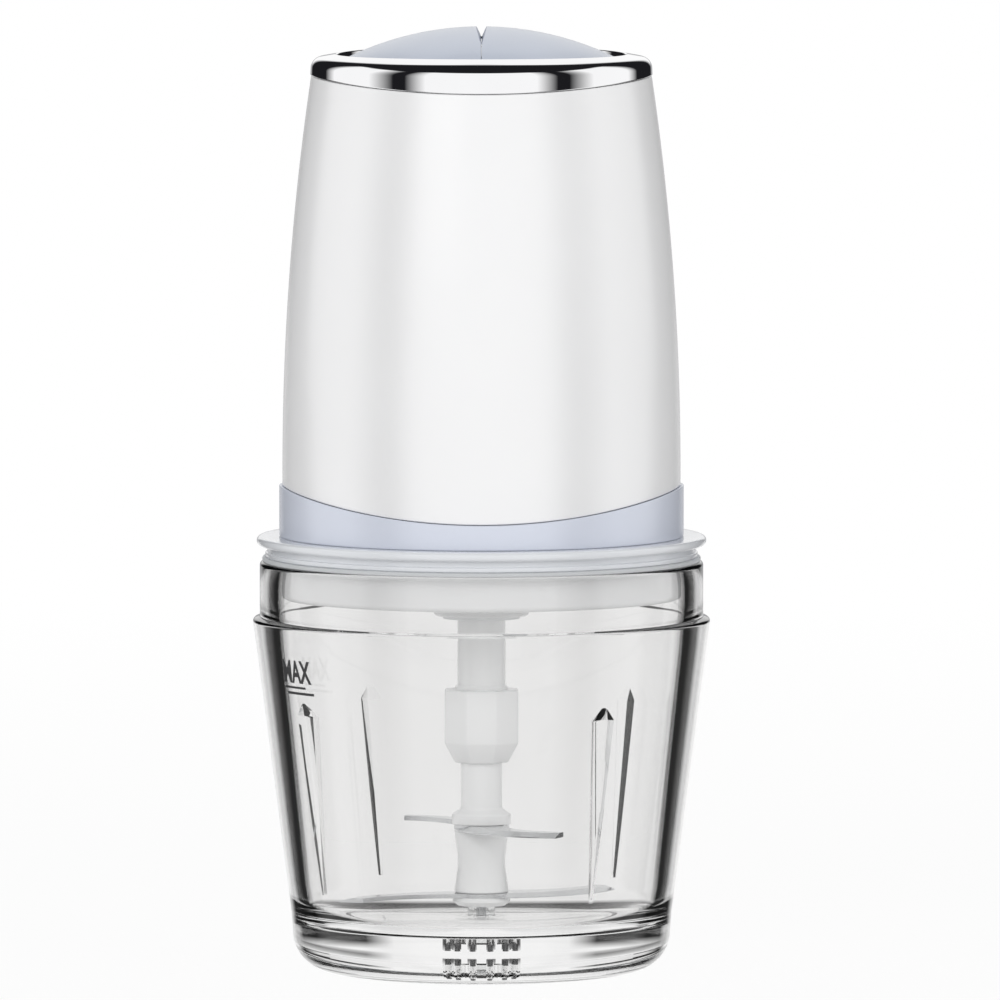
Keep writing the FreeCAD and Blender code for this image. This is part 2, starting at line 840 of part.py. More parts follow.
def make_button(side):
    """Half of the domed top: a hollow shell with a skirt, a stem and a seat for its spring."""
    shell = dome(0, button_skirt_low).cut(dome(button_wall, button_skirt_low - 1))
    web = dome(0, button_skirt_low).cut(half_space(button_split / 2 + button_wall))
    centre = dome_top_height - dome_radius
    ball = Part.makeSphere(dome_radius, Vector(0, 0, centre))
    stem = disc(stem_radius, stem_low_end, dome_top_height, stem_offset).common(ball)
    seat_radius = button_spring_radius + 2
    seat = disc(seat_radius, button_spring_top, dome_top_height, stem_offset).common(ball)
    half = fused([shell, web, stem, seat])
    half = half.common(half_space(button_split / 2))
    notch_edge = [Vector(0, -60, dome_top_height - button_notch_depth),
                  Vector(0, -60, dome_top_height + 1),
                  Vector(button_notch_width / 2 * (1 + 1 / button_notch_depth), -60, dome_top_height + 1)]
    notch = Part.Face(Part.makePolygon(notch_edge + notch_edge[:1])).extrude(Vector(0, 120, 0))
    half = half.cut(notch)
    return half if side > 0 else turned(half, 180)


def make_button_spring(side):
    return coil(button_spring_radius, button_spring_wire, button_spring_turns, deck_top,
                button_spring_top, side * stem_offset)


# ---- switches and board -------------------------------------------------------------------------


def make_plunger(side):
    top = stem_low_end - 0.1
    x = side * stem_offset
    return disc(plunger_radius, switch_low + 6.0, top, x)


def make_switch_body(side):
    x = side * stem_offset
    body = block(switch_width, switch_length, switch_low, switch_high, x)
    return body.cut(disc(plunger_radius + run_clearance, switch_low + 2.0, switch_high + 1, x))


def make_switch_bracket():
    half = stem_offset + switch_width / 2 + 3
    base = block(2 * half, 24, switch_low - switch_sheet, switch_low)
    sides = [block(switch_sheet, 24, switch_low - switch_sheet, deck_low, side * (half - switch_sheet / 2))
             for side in (-1, 1)]
    return fused([base] + sides)


def board_posts():
    return [(x * (screw_x - 8), y * 18.0) for x in (-1, 1) for y in (-1, 1)]


def make_board():
    board = plate(board_width, board_length, 4.0, board_height, board_height + board_thickness)
    posts = []
    for x, y in board_posts():
        posts.append(disc(2.2, upper_bracket_height + upper_bracket_thickness, board_height, x, y))
    return fused([board] + posts)


# ---- reduction gear -----------------------------------------------------------------------------


def involute_point(base_radius, radius):
    turn = math.sqrt(max((radius / base_radius) ** 2 - 1, 0))
    return turn - math.atan(turn)


def tooth_half_angle(teeth, radius, thinning):
    """Half the angle that a tooth fills at radius; inside the base circle it stays as it is there."""
    pitch = gear_module * teeth / 2
    base = pitch * math.cos(math.radians(pressure_angle))
    at_pitch = math.pi / (2 * teeth) - thinning / pitch
    return at_pitch + involute_point(base, pitch) - involute_point(base, max(radius, base))


def gear_outline(teeth, inner_radius, outer_radius, thinning, start_angle, height):
    steps = 6
    radii = [inner_radius + (outer_radius - inner_radius) * step / steps for step in range(steps + 1)]
    points = []
    for tooth in range(teeth):
        middle = math.radians(start_angle) + 2 * math.pi * tooth / teeth
        for side, ordered in ((-1, radii), (1, radii[::-1])):
            for radius in ordered:
                angle = middle + side * tooth_half_angle(teeth, radius, thinning)
                points.append(Vector(radius * math.cos(angle), radius * math.sin(angle), height))
    return Part.Face(Part.makePolygon(points + points[:1]))


def external_gear(teeth, start_angle, bore):
    pitch = gear_module * teeth / 2
    face = gear_outline(teeth, pitch - tooth_dedendum * gear_module, pitch + tooth_addendum * gear_module,
                        tooth_backlash / 2, start_angle, gear_low)
    return face.extrude(Vector(0, 0, gear_thickness)).cut(disc(bore, gear_low - 1, gear_top + 1))


def make_sun_gear():
    return external_gear(sun_teeth, 0, shaft_nose_radius + 0.02)


def make_planet(index):
    angle = 360 * index / planet_count
    gap_first = 180 / planet_teeth
    planet = external_gear(planet_teeth, gap_first, planet_pin_radius + run_clearance)
    return turned(moved(planet, planet_ring), angle)


def make_ring_gear():
    pitch = gear_module * ring_teeth / 2
    tip = pitch - tooth_addendum * gear_module
    root = pitch + tooth_dedendum * gear_module
    # the spaces between the ring's teeth have the shape of an outside gear's teeth, made wider
    space = gear_outline(ring_teeth, tip, root, -tooth_backlash / 2, 180 / ring_teeth, gear_low - 0.3)
    hollow = space.extrude(Vector(0, 0, gear_thickness + 0.8))
    rim = disc(case_inner_radius - seat_clearance, gear_low - 0.3, gear_top + 0.5)
    return rim.cut(hollow)


def make_carrier():
    shapes = [
        disc(carrier_radius, carrier_low, carrier_top),
        disc(output_shaft_radius, coupling_top, carrier_low + 1),
        disc(3.0, coupling_top - coupling_web + 0.2, coupling_top + 1),
    ]
    body = fused(shapes)
    holes = []
    for index in range(planet_count):
        x, y = at_angle(planet_ring, 360 * index / planet_count)
        holes.append(disc(planet_pin_radius + 0.02, carrier_low + 0.6, carrier_top + 1, x, y))
    return body.cut(Part.makeCompound(holes))


def make_planet_pins():
    pins = []
    for index in range(planet_count):
        x, y = at_angle(planet_ring, 360 * index / planet_count)
        pins.append(disc(planet_pin_radius, carrier_low + 0.6, gear_top + 0.4, x, y))
    return pins


def make_coupling():
    body = spun([
        (3.05, coupling_low, 0),
        (coupling_radius, coupling_low, 0.8),
        (coupling_radius, coupling_top, 0.5),
        (3.05, coupling_top, 0),
    ])
    socket = hexagon(nub_flats + 0.5, coupling_low - 1, coupling_top - coupling_web)
    return body.cut(socket)


def gear_lugs(low, high):
    lugs = []
    for angle in gear_lug_angles:
        x, y = at_angle(gear_lug_ring, angle)
        lugs.append(disc(gear_lug_radius, low, high, x, y))
        lugs.append(hook_box(case_radius - 1, gear_lug_ring, low, high, 2 * gear_lug_radius, angle))
    return lugs


def gear_lug_holes(low, high):
    holes = []
    for angle in gear_lug_angles:
        x, y = at_angle(gear_lug_ring, angle)
        holes.append(disc(1.5, low, high, x, y))
    return holes


def make_gearbox_case():
    cup = disc(case_radius, case_floor_low, case_top)
    cup = cup.cut(disc(case_inner_radius, case_floor_top, case_top + 1))
    nose = disc(output_bearing_radius + 2.5, output_bearing_low, case_floor_low + 1)
    body = fused([cup, nose] + gear_lugs(case_top - 6, case_top))
    cuts = gear_lug_holes(case_top - 7, case_top + 1)
    cuts.append(disc(output_bearing_radius, output_bearing_low - 1, case_floor_top + 1))
    return body.cut(Part.makeCompound(cuts))


def make_gearbox_cover():
    top = disc(case_radius, case_top, cover_top)
    lip = tube(case_inner_radius - seat_clearance, case_inner_radius - 3, gear_top + 0.5, case_top + 0.5)
    body = fused([top, lip] + gear_lugs(case_top, cover_top))
    cuts = gear_lug_holes(case_top - 1, cover_top + 1)
    cuts.append(disc(shaft_radius + free_clearance, case_top - 1, cover_top + 1))
    return body.cut(Part.makeCompound(cuts))


def make_output_bearing():
    return tube(output_bearing_radius - 0.02, output_shaft_radius + run_clearance,
                output_bearing_low, case_floor_top)


def make_gearbox_screws():
    screws = []
    for angle in gear_lug_angles:
        x, y = at_angle(gear_lug_ring, angle)
        head = disc(2.6, case_top - 7.8, case_top - 6, x, y)
        screws.append(fused([head, disc(1.45, case_top - 7, bracket_top - 1, x, y)]))
    return screws


# ---- motor --------------------------------------------------------------------------------------


def corner_places():
    return [(x * screw_x, y * screw_y) for x in (-1, 1) for y in (-1, 1)]


def corner_holes(low, high):
    return [disc(1.8, low, high, x, y) for x, y in corner_places()]


def make_lower_bracket():
    shapes = [
        plate(stator_width, stator_length, stator_corner, bracket_low, bracket_top),
        disc(bearing_radius + 2.5, bracket_low, lower_boss_top),
    ]
    for x, y in corner_places():
        shapes.append(disc(screw_post_radius, bracket_top - 1, stack_low, x, y))
    body = fused(shapes)
    cuts = corner_holes(bracket_low - 1, stack_low + 1) + gear_lug_holes(bracket_low - 1, bracket_top + 1)
    cuts.append(disc(bearing_radius, lower_bearing_low, lower_boss_top + 1))
    cuts.append(disc(shaft_radius + free_clearance, bracket_low - 1, lower_boss_top + 1))
    for side in (-1, 1):
        cuts.append(block(9, 30, bracket_low - 1, bracket_top + 1, side * 21.5))
    return body.cut(Part.makeCompound(cuts))


def make_upper_bracket():
    top = upper_bracket_height + upper_bracket_thickness
    shapes = [
        plate(stator_width, stator_length, stator_corner, upper_bracket_height, top),
        disc(bearing_radius + 2.5, upper_bearing_low, upper_boss_top),
    ]
    for x, y in corner_places():
        shapes.append(disc(screw_post_radius, stack_top, upper_bracket_height + 1, x, y))
    ear_low = brush_height + brush_thickness / 2 + brush_tube_wall
    for side in (-1, 1):
        shapes.append(block(9, brush_width + 2 * brush_tube_wall, ear_low, upper_bracket_height + 1,
                            side * 20.0))
    body = fused(shapes)
    cuts = corner_holes(stack_top - 1, top + 1)
    cuts.append(disc(bearing_radius, upper_bearing_low - 1, upper_bearing_low + bearing_length))
    cuts.append(disc(shaft_radius + free_clearance, upper_bearing_low, upper_boss_top + 1))
    for side in (-1, 1):
        cuts.append(block(20, 9, upper_bracket_height - 1, top + 1, 0, side * 24))
    return body.cut(Part.makeCompound(cuts))


def make_bearing(low):
    return tube(bearing_radius - 0.02, shaft_radius + run_clearance, low, low + bearing_length - 0.05)


def make_stator():
    frame = plate(stator_width, stator_length, stator_corner, stack_low, stack_top)
    frame = frame.cut(block(window_width, window_length, stack_low - 1, stack_top + 1))
    shapes = [frame]
    shoe_span = 104.0
    for turn in (90, 270):
        neck_length = window_length / 2 - pole_bore
        neck = block(neck_length + 1, pole_width, stack_low, stack_top, pole_bore + neck_length / 2 + 0.5)
        shoe = Part.makeCylinder(pole_bore + 3.2, stator_height, Vector(0, 0, stack_low),
                                 Vector(0, 0, 1), shoe_span)
        shoe = turned(shoe, -shoe_span / 2)
        shapes.append(turned(neck, turn))
        shapes.append(turned(shoe, turn))
    body = fused(shapes)
    cuts = corner_holes(stack_low - 1, stack_top + 1)
    cuts.append(disc(pole_bore, stack_low - 1, stack_top + 1))
    return body.cut(Part.makeCompound(cuts))


def make_field_coils():
    coils = []
    inner = pole_width / 2 + slide_clearance
    outer = inner + coil_thickness
    near = pole_bore + 3.2 + slide_clearance
    far = window_length / 2 - slide_clearance
    rise = winding_height
    for side in (-1, 1):
        low_y = near if side > 0 else -far
        corners = [(-outer, stack_low - rise, 4.0), (outer, stack_low - rise, 4.0),
                   (outer, stack_top + rise, 4.0), (-outer, stack_top + rise, 4.0)]
        wire = rounded_wire(corners, lambda point: Vector(point.x, low_y, point.y))
        body = Part.Face(wire).extrude(Vector(0, far - near, 0))
        hole = Part.makeBox(2 * inner, 60, stator_height + 2 * slide_clearance,
                            Vector(-inner, low_y - 10, stack_low - slide_clearance))
        coils.append(body.cut(hole))
    return coils


def make_motor_screws():
    screws = []
    top = upper_bracket_height + upper_bracket_thickness
    for x, y in corner_places():
        shank = disc(1.75, bracket_low + 0.5, top + 1, x, y)
        screws.append(fused([shank, disc(3.2, top, top + 2.2, x, y)]))
    return screws


def make_shaft():
    return spun([
        (0, gear_low, 0),
        (shaft_nose_radius, gear_low, 0.3),
        (shaft_nose_radius, gear_top + 1.2, 0),
        (shaft_radius, gear_top + 1.2, 0.3),
        (shaft_radius, shaft_top, 0.5),
        (0, shaft_top, 0),
    ])


def make_armature_core():
    core = disc(armature_radius, stack_low, stack_top)
    cuts = [disc(shaft_radius + 0.02, stack_low - 1, stack_top + 1)]
    for index in range(armature_slots):
        slot = disc(slot_radius, stack_low - 1, stack_top + 1, slot_ring)
        mouth = block(6, 1.2, stack_low - 1, stack_top + 1, slot_ring + 3.4)
        cuts.append(turned(slot, index * 360 / armature_slots))
        cuts.append(turned(mouth, index * 360 / armature_slots))
    return core.cut(Part.makeCompound(cuts))


def make_windings():
    shapes = []
    for low, high in ((winding_low, stack_low), (stack_top, stack_top + winding_height)):
        shapes.append(spun([
            (shaft_radius + 1.0, low, 1.0),
            (winding_radius, low, 2.4),
            (winding_radius, high, 2.0),
            (shaft_radius + 1.0, high, 1.0),
        ]))
    for index in range(armature_slots):
        bar = disc(slot_radius - 0.1, stack_low - 1, stack_top + 1, slot_ring)
        shapes.append(turned(bar, index * 360 / armature_slots))
    return fused(shapes)


def make_commutator():
    high = commutator_top
    body = spun([
        (shaft_radius + 0.02, commutator_low - 2.5, 0),
        (commutator_radius + 1.2, commutator_low - 2.5, 0.4),
        (commutator_radius + 1.2, commutator_low, 0.4),
        (commutator_radius, commutator_low, 0),
        (commutator_radius, high, 0.4),
        (shaft_radius + 0.02, high, 0),
    ])
    groove = block(1.6, 0.5, commutator_low, high + 1, commutator_radius)
    cuts = [turned(groove, index * 360 / commutator_bars) for index in range(commutator_bars)]
    return body.cut(Part.makeCompound(cuts))


def make_fan():
    hub = tube(9.0, shaft_radius + 0.02, fan_low, fan_top)
    back = tube(fan_radius - 0.5, 8.0, fan_top - 1.4, fan_top)
    shapes = [hub, back]
    for index in range(fan_blades):
        vane = block(fan_radius - 8.5, 1.4, fan_low, fan_top, (fan_radius + 8.5) / 2)
        vane.rotate(Vector(8.5, 0, 0), Vector(0, 0, 1), 18)
        vane = vane.common(disc(fan_radius, fan_low, fan_top))
        shapes.append(turned(vane, index * 360 / fan_blades))
    return fused(shapes)


def brush_box(inner, outer, width, height):
    return Part.makeBox(outer - inner, width, height, Vector(inner, -width / 2, brush_height - height / 2))


def make_brush_parts():
    """Holder, brush and spring on the +X side of the commutator."""
    holder_start = commutator_radius + 1.4
    outer_width = brush_width + 2 * brush_tube_wall
    outer_height = brush_thickness + 2 * brush_tube_wall
    holder = brush_box(holder_start, brush_tube_end, outer_width, outer_height)
    cavity = brush_box(holder_start - 1, brush_tube_end - 1.2, brush_width + 0.1, brush_thickness + 0.1)
    brush_back = brush_tip + brush_length
    brush = brush_box(commutator_radius - 2, brush_back, brush_width, brush_thickness)
    brush = brush.cut(disc(brush_tip, commutator_low - 5, commutator_top + 5))
    spring = coil(1.6, 0.5, 5, 0, brush_tube_end - 1.2 - brush_back)
    spring.rotate(Vector(0, 0, 0), Vector(0, 1, 0), 90)
    spring.translate(Vector(brush_back, 0, brush_height))
    return holder.cut(cavity), brush, spring


def both_sides(shape):
    return [shape, turned(shape, 180)]


def make_vibration_mounts():
    mounts = []
    for angle in pillar_angles:
        x, y = at_angle(pillar_ring, angle)
        mounts.append(disc(mount_radius, pillar_top, bracket_low, x, y))
    return mounts


def make_base_screws():
    screws = []
    for angle in housing_boss_angles:
        x, y = at_angle(housing_boss_ring, angle)
        head = disc(3.0, spigot_low - 0.4, spigot_low + 1.4, x, y)
        screws.append(fused([head, disc(1.45, spigot_low, plate_top + 12, x, y)]))
    return screws


# ---- every node ---------------------------------------------------------------------------------


def make_all():
    os.makedirs("parts", exist_ok=True)
    save("glass_bowl", make_bowl())
    save("bowl_post", make_post())
    save("pivot_pin", make_pivot_pin())

    save("bowl_lid", make_lid())
    save("lid_seal", make_seal())
    save("spindle_bush", make_bush())

    save("blade_spindle", make_spindle())
    save("lower_blade", make_blade(lower_blade_reach, lower_blade_height, 20))
    save("upper_blade", make_blade(upper_blade_reach, upper_blade_height, 110))
    save("blade_spacer", make_spacer())
    save("blade_retainer", make_retainer())

    save("base_collar", make_base_collar())
    save("housing_shell", make_housing())
    save("cord_gland", make_cord_gland())
    save("chrome_ring", make_chrome_ring())
    save("button_deck", make_deck())
    save("low_button", make_button(-1))
    save("high_button", make_button(1))
    save("low_button_spring", make_button_spring(-1))
    save("high_button_spring", make_button_spring(1))
    save("low_plunger", make_plunger(-1))
    save("high_plunger", make_plunger(1))
    save_group("switch_bodies", [make_switch_body(-1), make_switch_body(1)])
    save("switch_bracket", make_switch_bracket())
    save("control_board", make_board())
    board_top = board_height + board_thickness
    save("noise_capacitor", block(18, 8.5, board_top, board_top + 12, 0, 18.5))
    save("rectifier", block(15, 6, board_top, board_top + 10, 0, -18.5))

    save("sun_gear", make_sun_gear())
    for index in range(planet_count):
        save("planet_gear_" + str(index + 1), make_planet(index))
    save("ring_gear", make_ring_gear())
    save("planet_carrier", make_carrier())
    save_group("planet_pins", make_planet_pins())
    save("drive_coupling", make_coupling())
    save("gearbox_case", make_gearbox_case())
    save("gearbox_cover", make_gearbox_cover())
    save("output_bearing", make_output_bearing())
    save_group("gearbox_screws", make_gearbox_screws())

    save("lower_motor_bracket", make_lower_bracket())
    save("upper_motor_bracket", make_upper_bracket())
    save("lower_bearing", make_bearing(lower_bearing_low))
    save("upper_bearing", make_bearing(upper_bearing_low))
    save("stator_core", make_stator())
    save_group("field_coils", make_field_coils())
    save_group("motor_screws", make_motor_screws())
    save("armature_shaft", make_shaft())
    save("armature_core", make_armature_core())
    save("armature_windings", make_windings())
    save("commutator", make_commutator())
    save("cooling_fan", make_fan())
    holder, brush, spring = make_brush_parts()
    save_group("brush_holders", both_sides(holder))
    save_group("carbon_brushes", both_sides(brush))
    save_group("brush_springs", both_sides(spring))
    save_group("vibration_mounts", make_vibration_mounts())
    save_group("base_screws", make_base_screws())


make_all()
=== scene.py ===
# A mini food processor: glass bowl, lid, cutters, and the motor unit with its two-part button.
# Lengths in the dictionaries are in millimetres; angles are in degrees.
import bpy
import bmesh
import json
from math import ceil, cos, degrees, hypot, pi, radians, sin, sqrt, tan
from mathutils import Matrix, Vector

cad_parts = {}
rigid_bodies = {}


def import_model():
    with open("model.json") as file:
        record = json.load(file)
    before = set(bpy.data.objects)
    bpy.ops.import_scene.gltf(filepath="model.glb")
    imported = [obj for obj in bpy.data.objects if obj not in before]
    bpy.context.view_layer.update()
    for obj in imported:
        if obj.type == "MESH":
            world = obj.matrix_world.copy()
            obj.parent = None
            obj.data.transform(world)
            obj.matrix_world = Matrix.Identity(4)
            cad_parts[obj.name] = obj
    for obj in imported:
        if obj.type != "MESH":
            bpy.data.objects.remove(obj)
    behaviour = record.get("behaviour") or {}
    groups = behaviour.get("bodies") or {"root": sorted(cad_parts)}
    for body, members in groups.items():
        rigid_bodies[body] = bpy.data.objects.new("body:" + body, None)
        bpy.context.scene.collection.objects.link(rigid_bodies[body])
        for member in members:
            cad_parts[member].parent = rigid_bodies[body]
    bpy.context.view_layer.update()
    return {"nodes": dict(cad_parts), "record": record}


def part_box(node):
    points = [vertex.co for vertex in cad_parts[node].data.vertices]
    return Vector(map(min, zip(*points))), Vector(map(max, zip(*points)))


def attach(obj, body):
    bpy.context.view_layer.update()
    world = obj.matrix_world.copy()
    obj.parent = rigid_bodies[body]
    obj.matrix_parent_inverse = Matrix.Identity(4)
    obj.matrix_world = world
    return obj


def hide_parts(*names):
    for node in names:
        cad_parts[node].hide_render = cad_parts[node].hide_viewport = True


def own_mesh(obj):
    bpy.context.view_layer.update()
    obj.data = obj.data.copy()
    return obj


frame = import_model()
scene = bpy.context.scene
scene.view_settings.view_transform = "Standard"
mm = 0.001
print("frame loaded", len(frame["nodes"]), "nodes")


# shader building

class Wire:  # a socket that can be written in sums
    def __init__(self, paint, socket):
        self.paint = paint
        self.socket = socket

    def __add__(self, other):
        return self.paint.maths("ADD", self, other)

    def __sub__(self, other):
        return self.paint.maths("SUBTRACT", self, other)

    def __rsub__(self, other):
        return self.paint.maths("SUBTRACT", other, self)

    def __mul__(self, other):
        return self.paint.maths("MULTIPLY", self, other)

    def __truediv__(self, other):
        return self.paint.maths("DIVIDE", self, other)

    def __lt__(self, other):
        return self.paint.maths("LESS_THAN", self, other)

    def __abs__(self):
        return self.paint.maths("ABSOLUTE", self)

    __radd__ = __add__
    __rmul__ = __mul__


class Paint:  # one node tree, built by adding nodes to it
    def __init__(self, tree):
        self.tree = tree
        tree.nodes.clear()

    def add(self, kind, settings={}, **sockets):
        node = self.tree.nodes.new("ShaderNode" + kind)
        for key, value in settings.items():
            setattr(node, key, value)
        for key, value in sockets.items():
            where = int(key[2:]) if key.startswith("at") and key[2:].isdigit() else key.replace("_", " ")
            self.join(node.inputs[where], value)
        return node

    def join(self, socket, value):
        if isinstance(value, Wire):
            self.tree.links.new(value.socket, socket)
        elif isinstance(value, tuple) and len(value) == 3 and socket.type == "RGBA":
            socket.default_value = (*value, 1)
        else:
            socket.default_value = value

    def wire(self, kind, settings={}, out=0, **sockets):
        return Wire(self, self.add(kind, settings, **sockets).outputs[out])

    def maths(self, operation, first, second=None):
        inputs = {"at0": first} if second is None else {"at0": first, "at1": second}
        return self.wire("Math", {"operation": operation}, **inputs)

    def blend(self, share, first, second):  # between two colours
        settings = {"data_type": "RGBA"}
        return self.wire("Mix", settings, out=2, at0=share, at6=first, at7=second)

    def stretched(self, scale):  # object coordinates, stretched
        place = self.wire("TexCoord", out="Object")
        return self.wire("Mapping", Vector=place, Scale=scale)

    def noise(self, size, detail=3.0):  # size of a grain, in mm
        place = self.wire("TexCoord", out="Object")
        return self.wire("TexNoise", out="Fac", Vector=place, Scale=1 / (size * mm), Detail=detail)

    def between(self, value, low, high, newLow, newHigh):
        return self.wire("MapRange", Value=value, From_Min=low, From_Max=high, To_Min=newLow, To_Max=newHigh)

    def bump(self, height, depth, strength=1.0):  # depth in mm
        return self.wire("Bump", Height=height, Distance=depth * mm, Strength=strength)

    def axes(self):
        place = self.wire("TexCoord", out="Object")
        split = self.add("SeparateXYZ", Vector=place)
        return [Wire(self, socket) for socket in split.outputs]


paints = {}


def newPaint(name):
    material = bpy.data.materials.new(name)
    material.use_nodes = True
    paints[name] = material
    return Paint(material.node_tree)


def finishPaint(paint, **sockets):
    surface = paint.wire("BsdfPrincipled", **sockets)
    paint.add("OutputMaterial", Surface=surface)


def rayKinds(paint, *kinds):
    rays = paint.add("LightPath")
    return [Wire(paint, rays.outputs["Is %s Ray" % kind]) for kind in kinds]


def shade(colour, amount):
    return tuple(min(1.0, part * amount) for part in colour)


# plastics: colour, how uneven it is, gloss, and the size and depth of the moulded grain
plastics = {
    # the lid's second, paler colour is painted light on the part below the lip, inside the glass
    "lid_plastic": dict(colour=(0.90, 0.92, 0.955), uneven=0.012, rough=0.12, grain=9, depth=0.010, coat=0.4,
                        clear=0.15, ior=1.46, inner=(0.98, 0.985, 0.99), innerFrom=111.8, innerTo=110.0),
    "bush_plastic": dict(colour=(0.86, 0.87, 0.88), uneven=0.03, rough=0.3, grain=1.5, depth=0.01, coat=0.1),
    "frosted_plastic": dict(colour=(0.985, 0.99, 0.99), uneven=0.008, rough=0.24, grain=1.2, depth=0.008,
                            coat=0.2, clear=0.1, ior=1.46),
    "collar_plastic": dict(colour=(0.70, 0.735, 0.83), uneven=0.015, rough=0.26, grain=0.7, depth=0.006,
                           coat=0.15, pearl=0.08),
    "housing_plastic": dict(colour=(0.93, 0.93, 0.935), uneven=0.006, rough=0.22, grain=14, depth=0.02,
                            ior=1.13, pearl=0.15),
    "button_plastic": dict(colour=(0.61, 0.66, 0.765), uneven=0.02, rough=0.30, grain=0.6, depth=0.006,
                           coat=0.2),
    "inner_plastic": dict(colour=(0.72, 0.72, 0.70), uneven=0.05, rough=0.5, grain=0.8, depth=0.03),
    "coupling_plastic": dict(colour=(0.74, 0.76, 0.77), uneven=0.04, rough=0.4, grain=0.6, depth=0.02),
    "gear_nylon": dict(colour=(0.83, 0.82, 0.76), uneven=0.05, rough=0.42, grain=0.7, depth=0.02),
    "fan_nylon": dict(colour=(0.055, 0.055, 0.06), uneven=0.15, rough=0.45, grain=0.6, depth=0.02),
    "switch_red": dict(colour=(0.55, 0.05, 0.04), uneven=0.08, rough=0.35, grain=0.5, depth=0.01, coat=0.1),
    "switch_black": dict(colour=(0.03, 0.03, 0.035), uneven=0.2, rough=0.4, grain=0.5, depth=0.02),
    "capacitor_yellow": dict(colour=(0.78, 0.58, 0.10), uneven=0.08, rough=0.22, grain=1.2, depth=0.02,
                             coat=0.4),
    "silicone": dict(colour=(0.86, 0.88, 0.90), uneven=0.03, rough=0.38, grain=1.0, depth=0.01,
                     clear=0.35, ior=1.41),
    "black_rubber": dict(colour=(0.035, 0.035, 0.037), uneven=0.25, rough=0.62, grain=0.35, depth=0.03),
    "brush_carbon": dict(colour=(0.05, 0.05, 0.052), uneven=0.3, rough=0.5, grain=0.25, depth=0.03),
}


def plasticPaint(name, look):
    paint = newPaint(name)
    cloud = paint.noise(22, 2.0)
    fine = paint.noise(look["grain"], 4.0)
    mottled = paint.blend(paint.between(cloud, 0.3, 0.7, 0, 1), shade(look["colour"], 1 - look["uneven"]),
                          shade(look["colour"], 1 + look["uneven"]))
    if "inner" in look:  # painted light: paler below a height, where the lid sits inside the glass and light shows through its walls
        height = paint.axes()[2]
        paintedLightShare = paint.between(height, look["innerFrom"] * mm, look["innerTo"] * mm, 0, 1)
        mottled = paint.blend(paintedLightShare, mottled, look["inner"])
    gloss = look["rough"] * (0.9 + 0.2 * cloud)
    finishPaint(paint, Base_Color=mottled, Roughness=gloss, Normal=paint.bump(fine, look["depth"], 0.6),
                Coat_Weight=look.get("coat", 0.0), Coat_Roughness=0.05, IOR=look.get("ior", 1.47),
                Transmission_Weight=look.get("clear", 0.0), Metallic=look.get("pearl", 0.0))


# metals: colour, gloss, and the length and width of the grain that machining or rolling leaves
metals = {
    "pin_steel": dict(colour=(0.62, 0.62, 0.63), rough=0.16, grain=(30, 30, 0.25), depth=0.003),
    "blade_steel": dict(colour=(0.68, 0.69, 0.70), rough=0.20, grain=(9, 0.25, 9), depth=0.004),
    "spring_steel": dict(colour=(0.55, 0.55, 0.56), rough=0.22, grain=(0.5, 0.5, 0.5), depth=0.004),
    "zinc_sheet": dict(colour=(0.60, 0.61, 0.62), rough=0.34, grain=(6, 2.5, 6), depth=0.01),
    "gear_steel": dict(colour=(0.46, 0.46, 0.46), rough=0.38, grain=(0.3, 0.3, 0.3), depth=0.02),
    "bearing_bronze": dict(colour=(0.60, 0.42, 0.25), rough=0.40, grain=(0.28, 0.28, 0.28), depth=0.02),
    "screw_zinc": dict(colour=(0.64, 0.64, 0.62), rough=0.28, grain=(1.2, 1.2, 0.4), depth=0.008),
    "commutator_copper": dict(colour=(0.74, 0.38, 0.22), rough=0.24, grain=(30, 30, 0.2), depth=0.01),
    "holder_brass": dict(colour=(0.76, 0.58, 0.28), rough=0.26, grain=(8, 0.5, 8), depth=0.008),
}


def metalPaint(name, look):
    paint = newPaint(name)
    lengthwise = tuple(1 / (size * mm) for size in look["grain"])
    streaks = paint.wire("TexNoise", out="Fac", Vector=paint.stretched(lengthwise), Scale=1.0, Detail=4.0)
    tarnish = paint.noise(7, 3.0)
    worn = paint.blend(tarnish, shade(look["colour"], 0.9), shade(look["colour"], 1.06))
    gloss = look["rough"] * (0.7 + 0.6 * streaks)
    finishPaint(paint, Base_Color=worn, Metallic=1.0, Roughness=gloss,
                Normal=paint.bump(streaks, look["depth"], 0.7))


def glassPaint(name, colour, ior, wave, depth):
    paint = newPaint(name)
    ripple = paint.noise(wave, 1.0)
    smear = paint.noise(30, 3.0)
    tint = paint.blend(smear, shade(colour, 0.995), shade(colour, 1.005))
    body = paint.wire("BsdfPrincipled", Base_Color=tint, Roughness=0.0, IOR=ior, Transmission_Weight=1.0,
                      Normal=paint.bump(ripple, depth, 0.5))
    shadow, diffuse = rayKinds(paint, "Shadow", "Diffuse")
    unseen = paint.wire("BsdfTransparent", Color=(1.0, 1.0, 1.0))  # lamp light passes straight through
    lit = paint.maths("MAXIMUM", shadow, diffuse)
    paint.add("OutputMaterial", Surface=paint.wire("MixShader", at0=lit, at1=body, at2=unseen))


def chromePaint(name):
    paint = newPaint(name)
    haze = paint.noise(16, 3.0)
    wipes = paint.wire("TexNoise", out="Fac", Vector=paint.stretched((60, 60, 900)), Scale=1.0, Detail=2.0)
    tone = paint.blend(haze, (0.90, 0.90, 0.91), (0.94, 0.94, 0.95))
    gloss = 0.02 + 0.03 * haze * wipes
    finishPaint(paint, Base_Color=tone, Metallic=1.0, Roughness=gloss, Normal=paint.bump(haze, 0.002, 0.3))


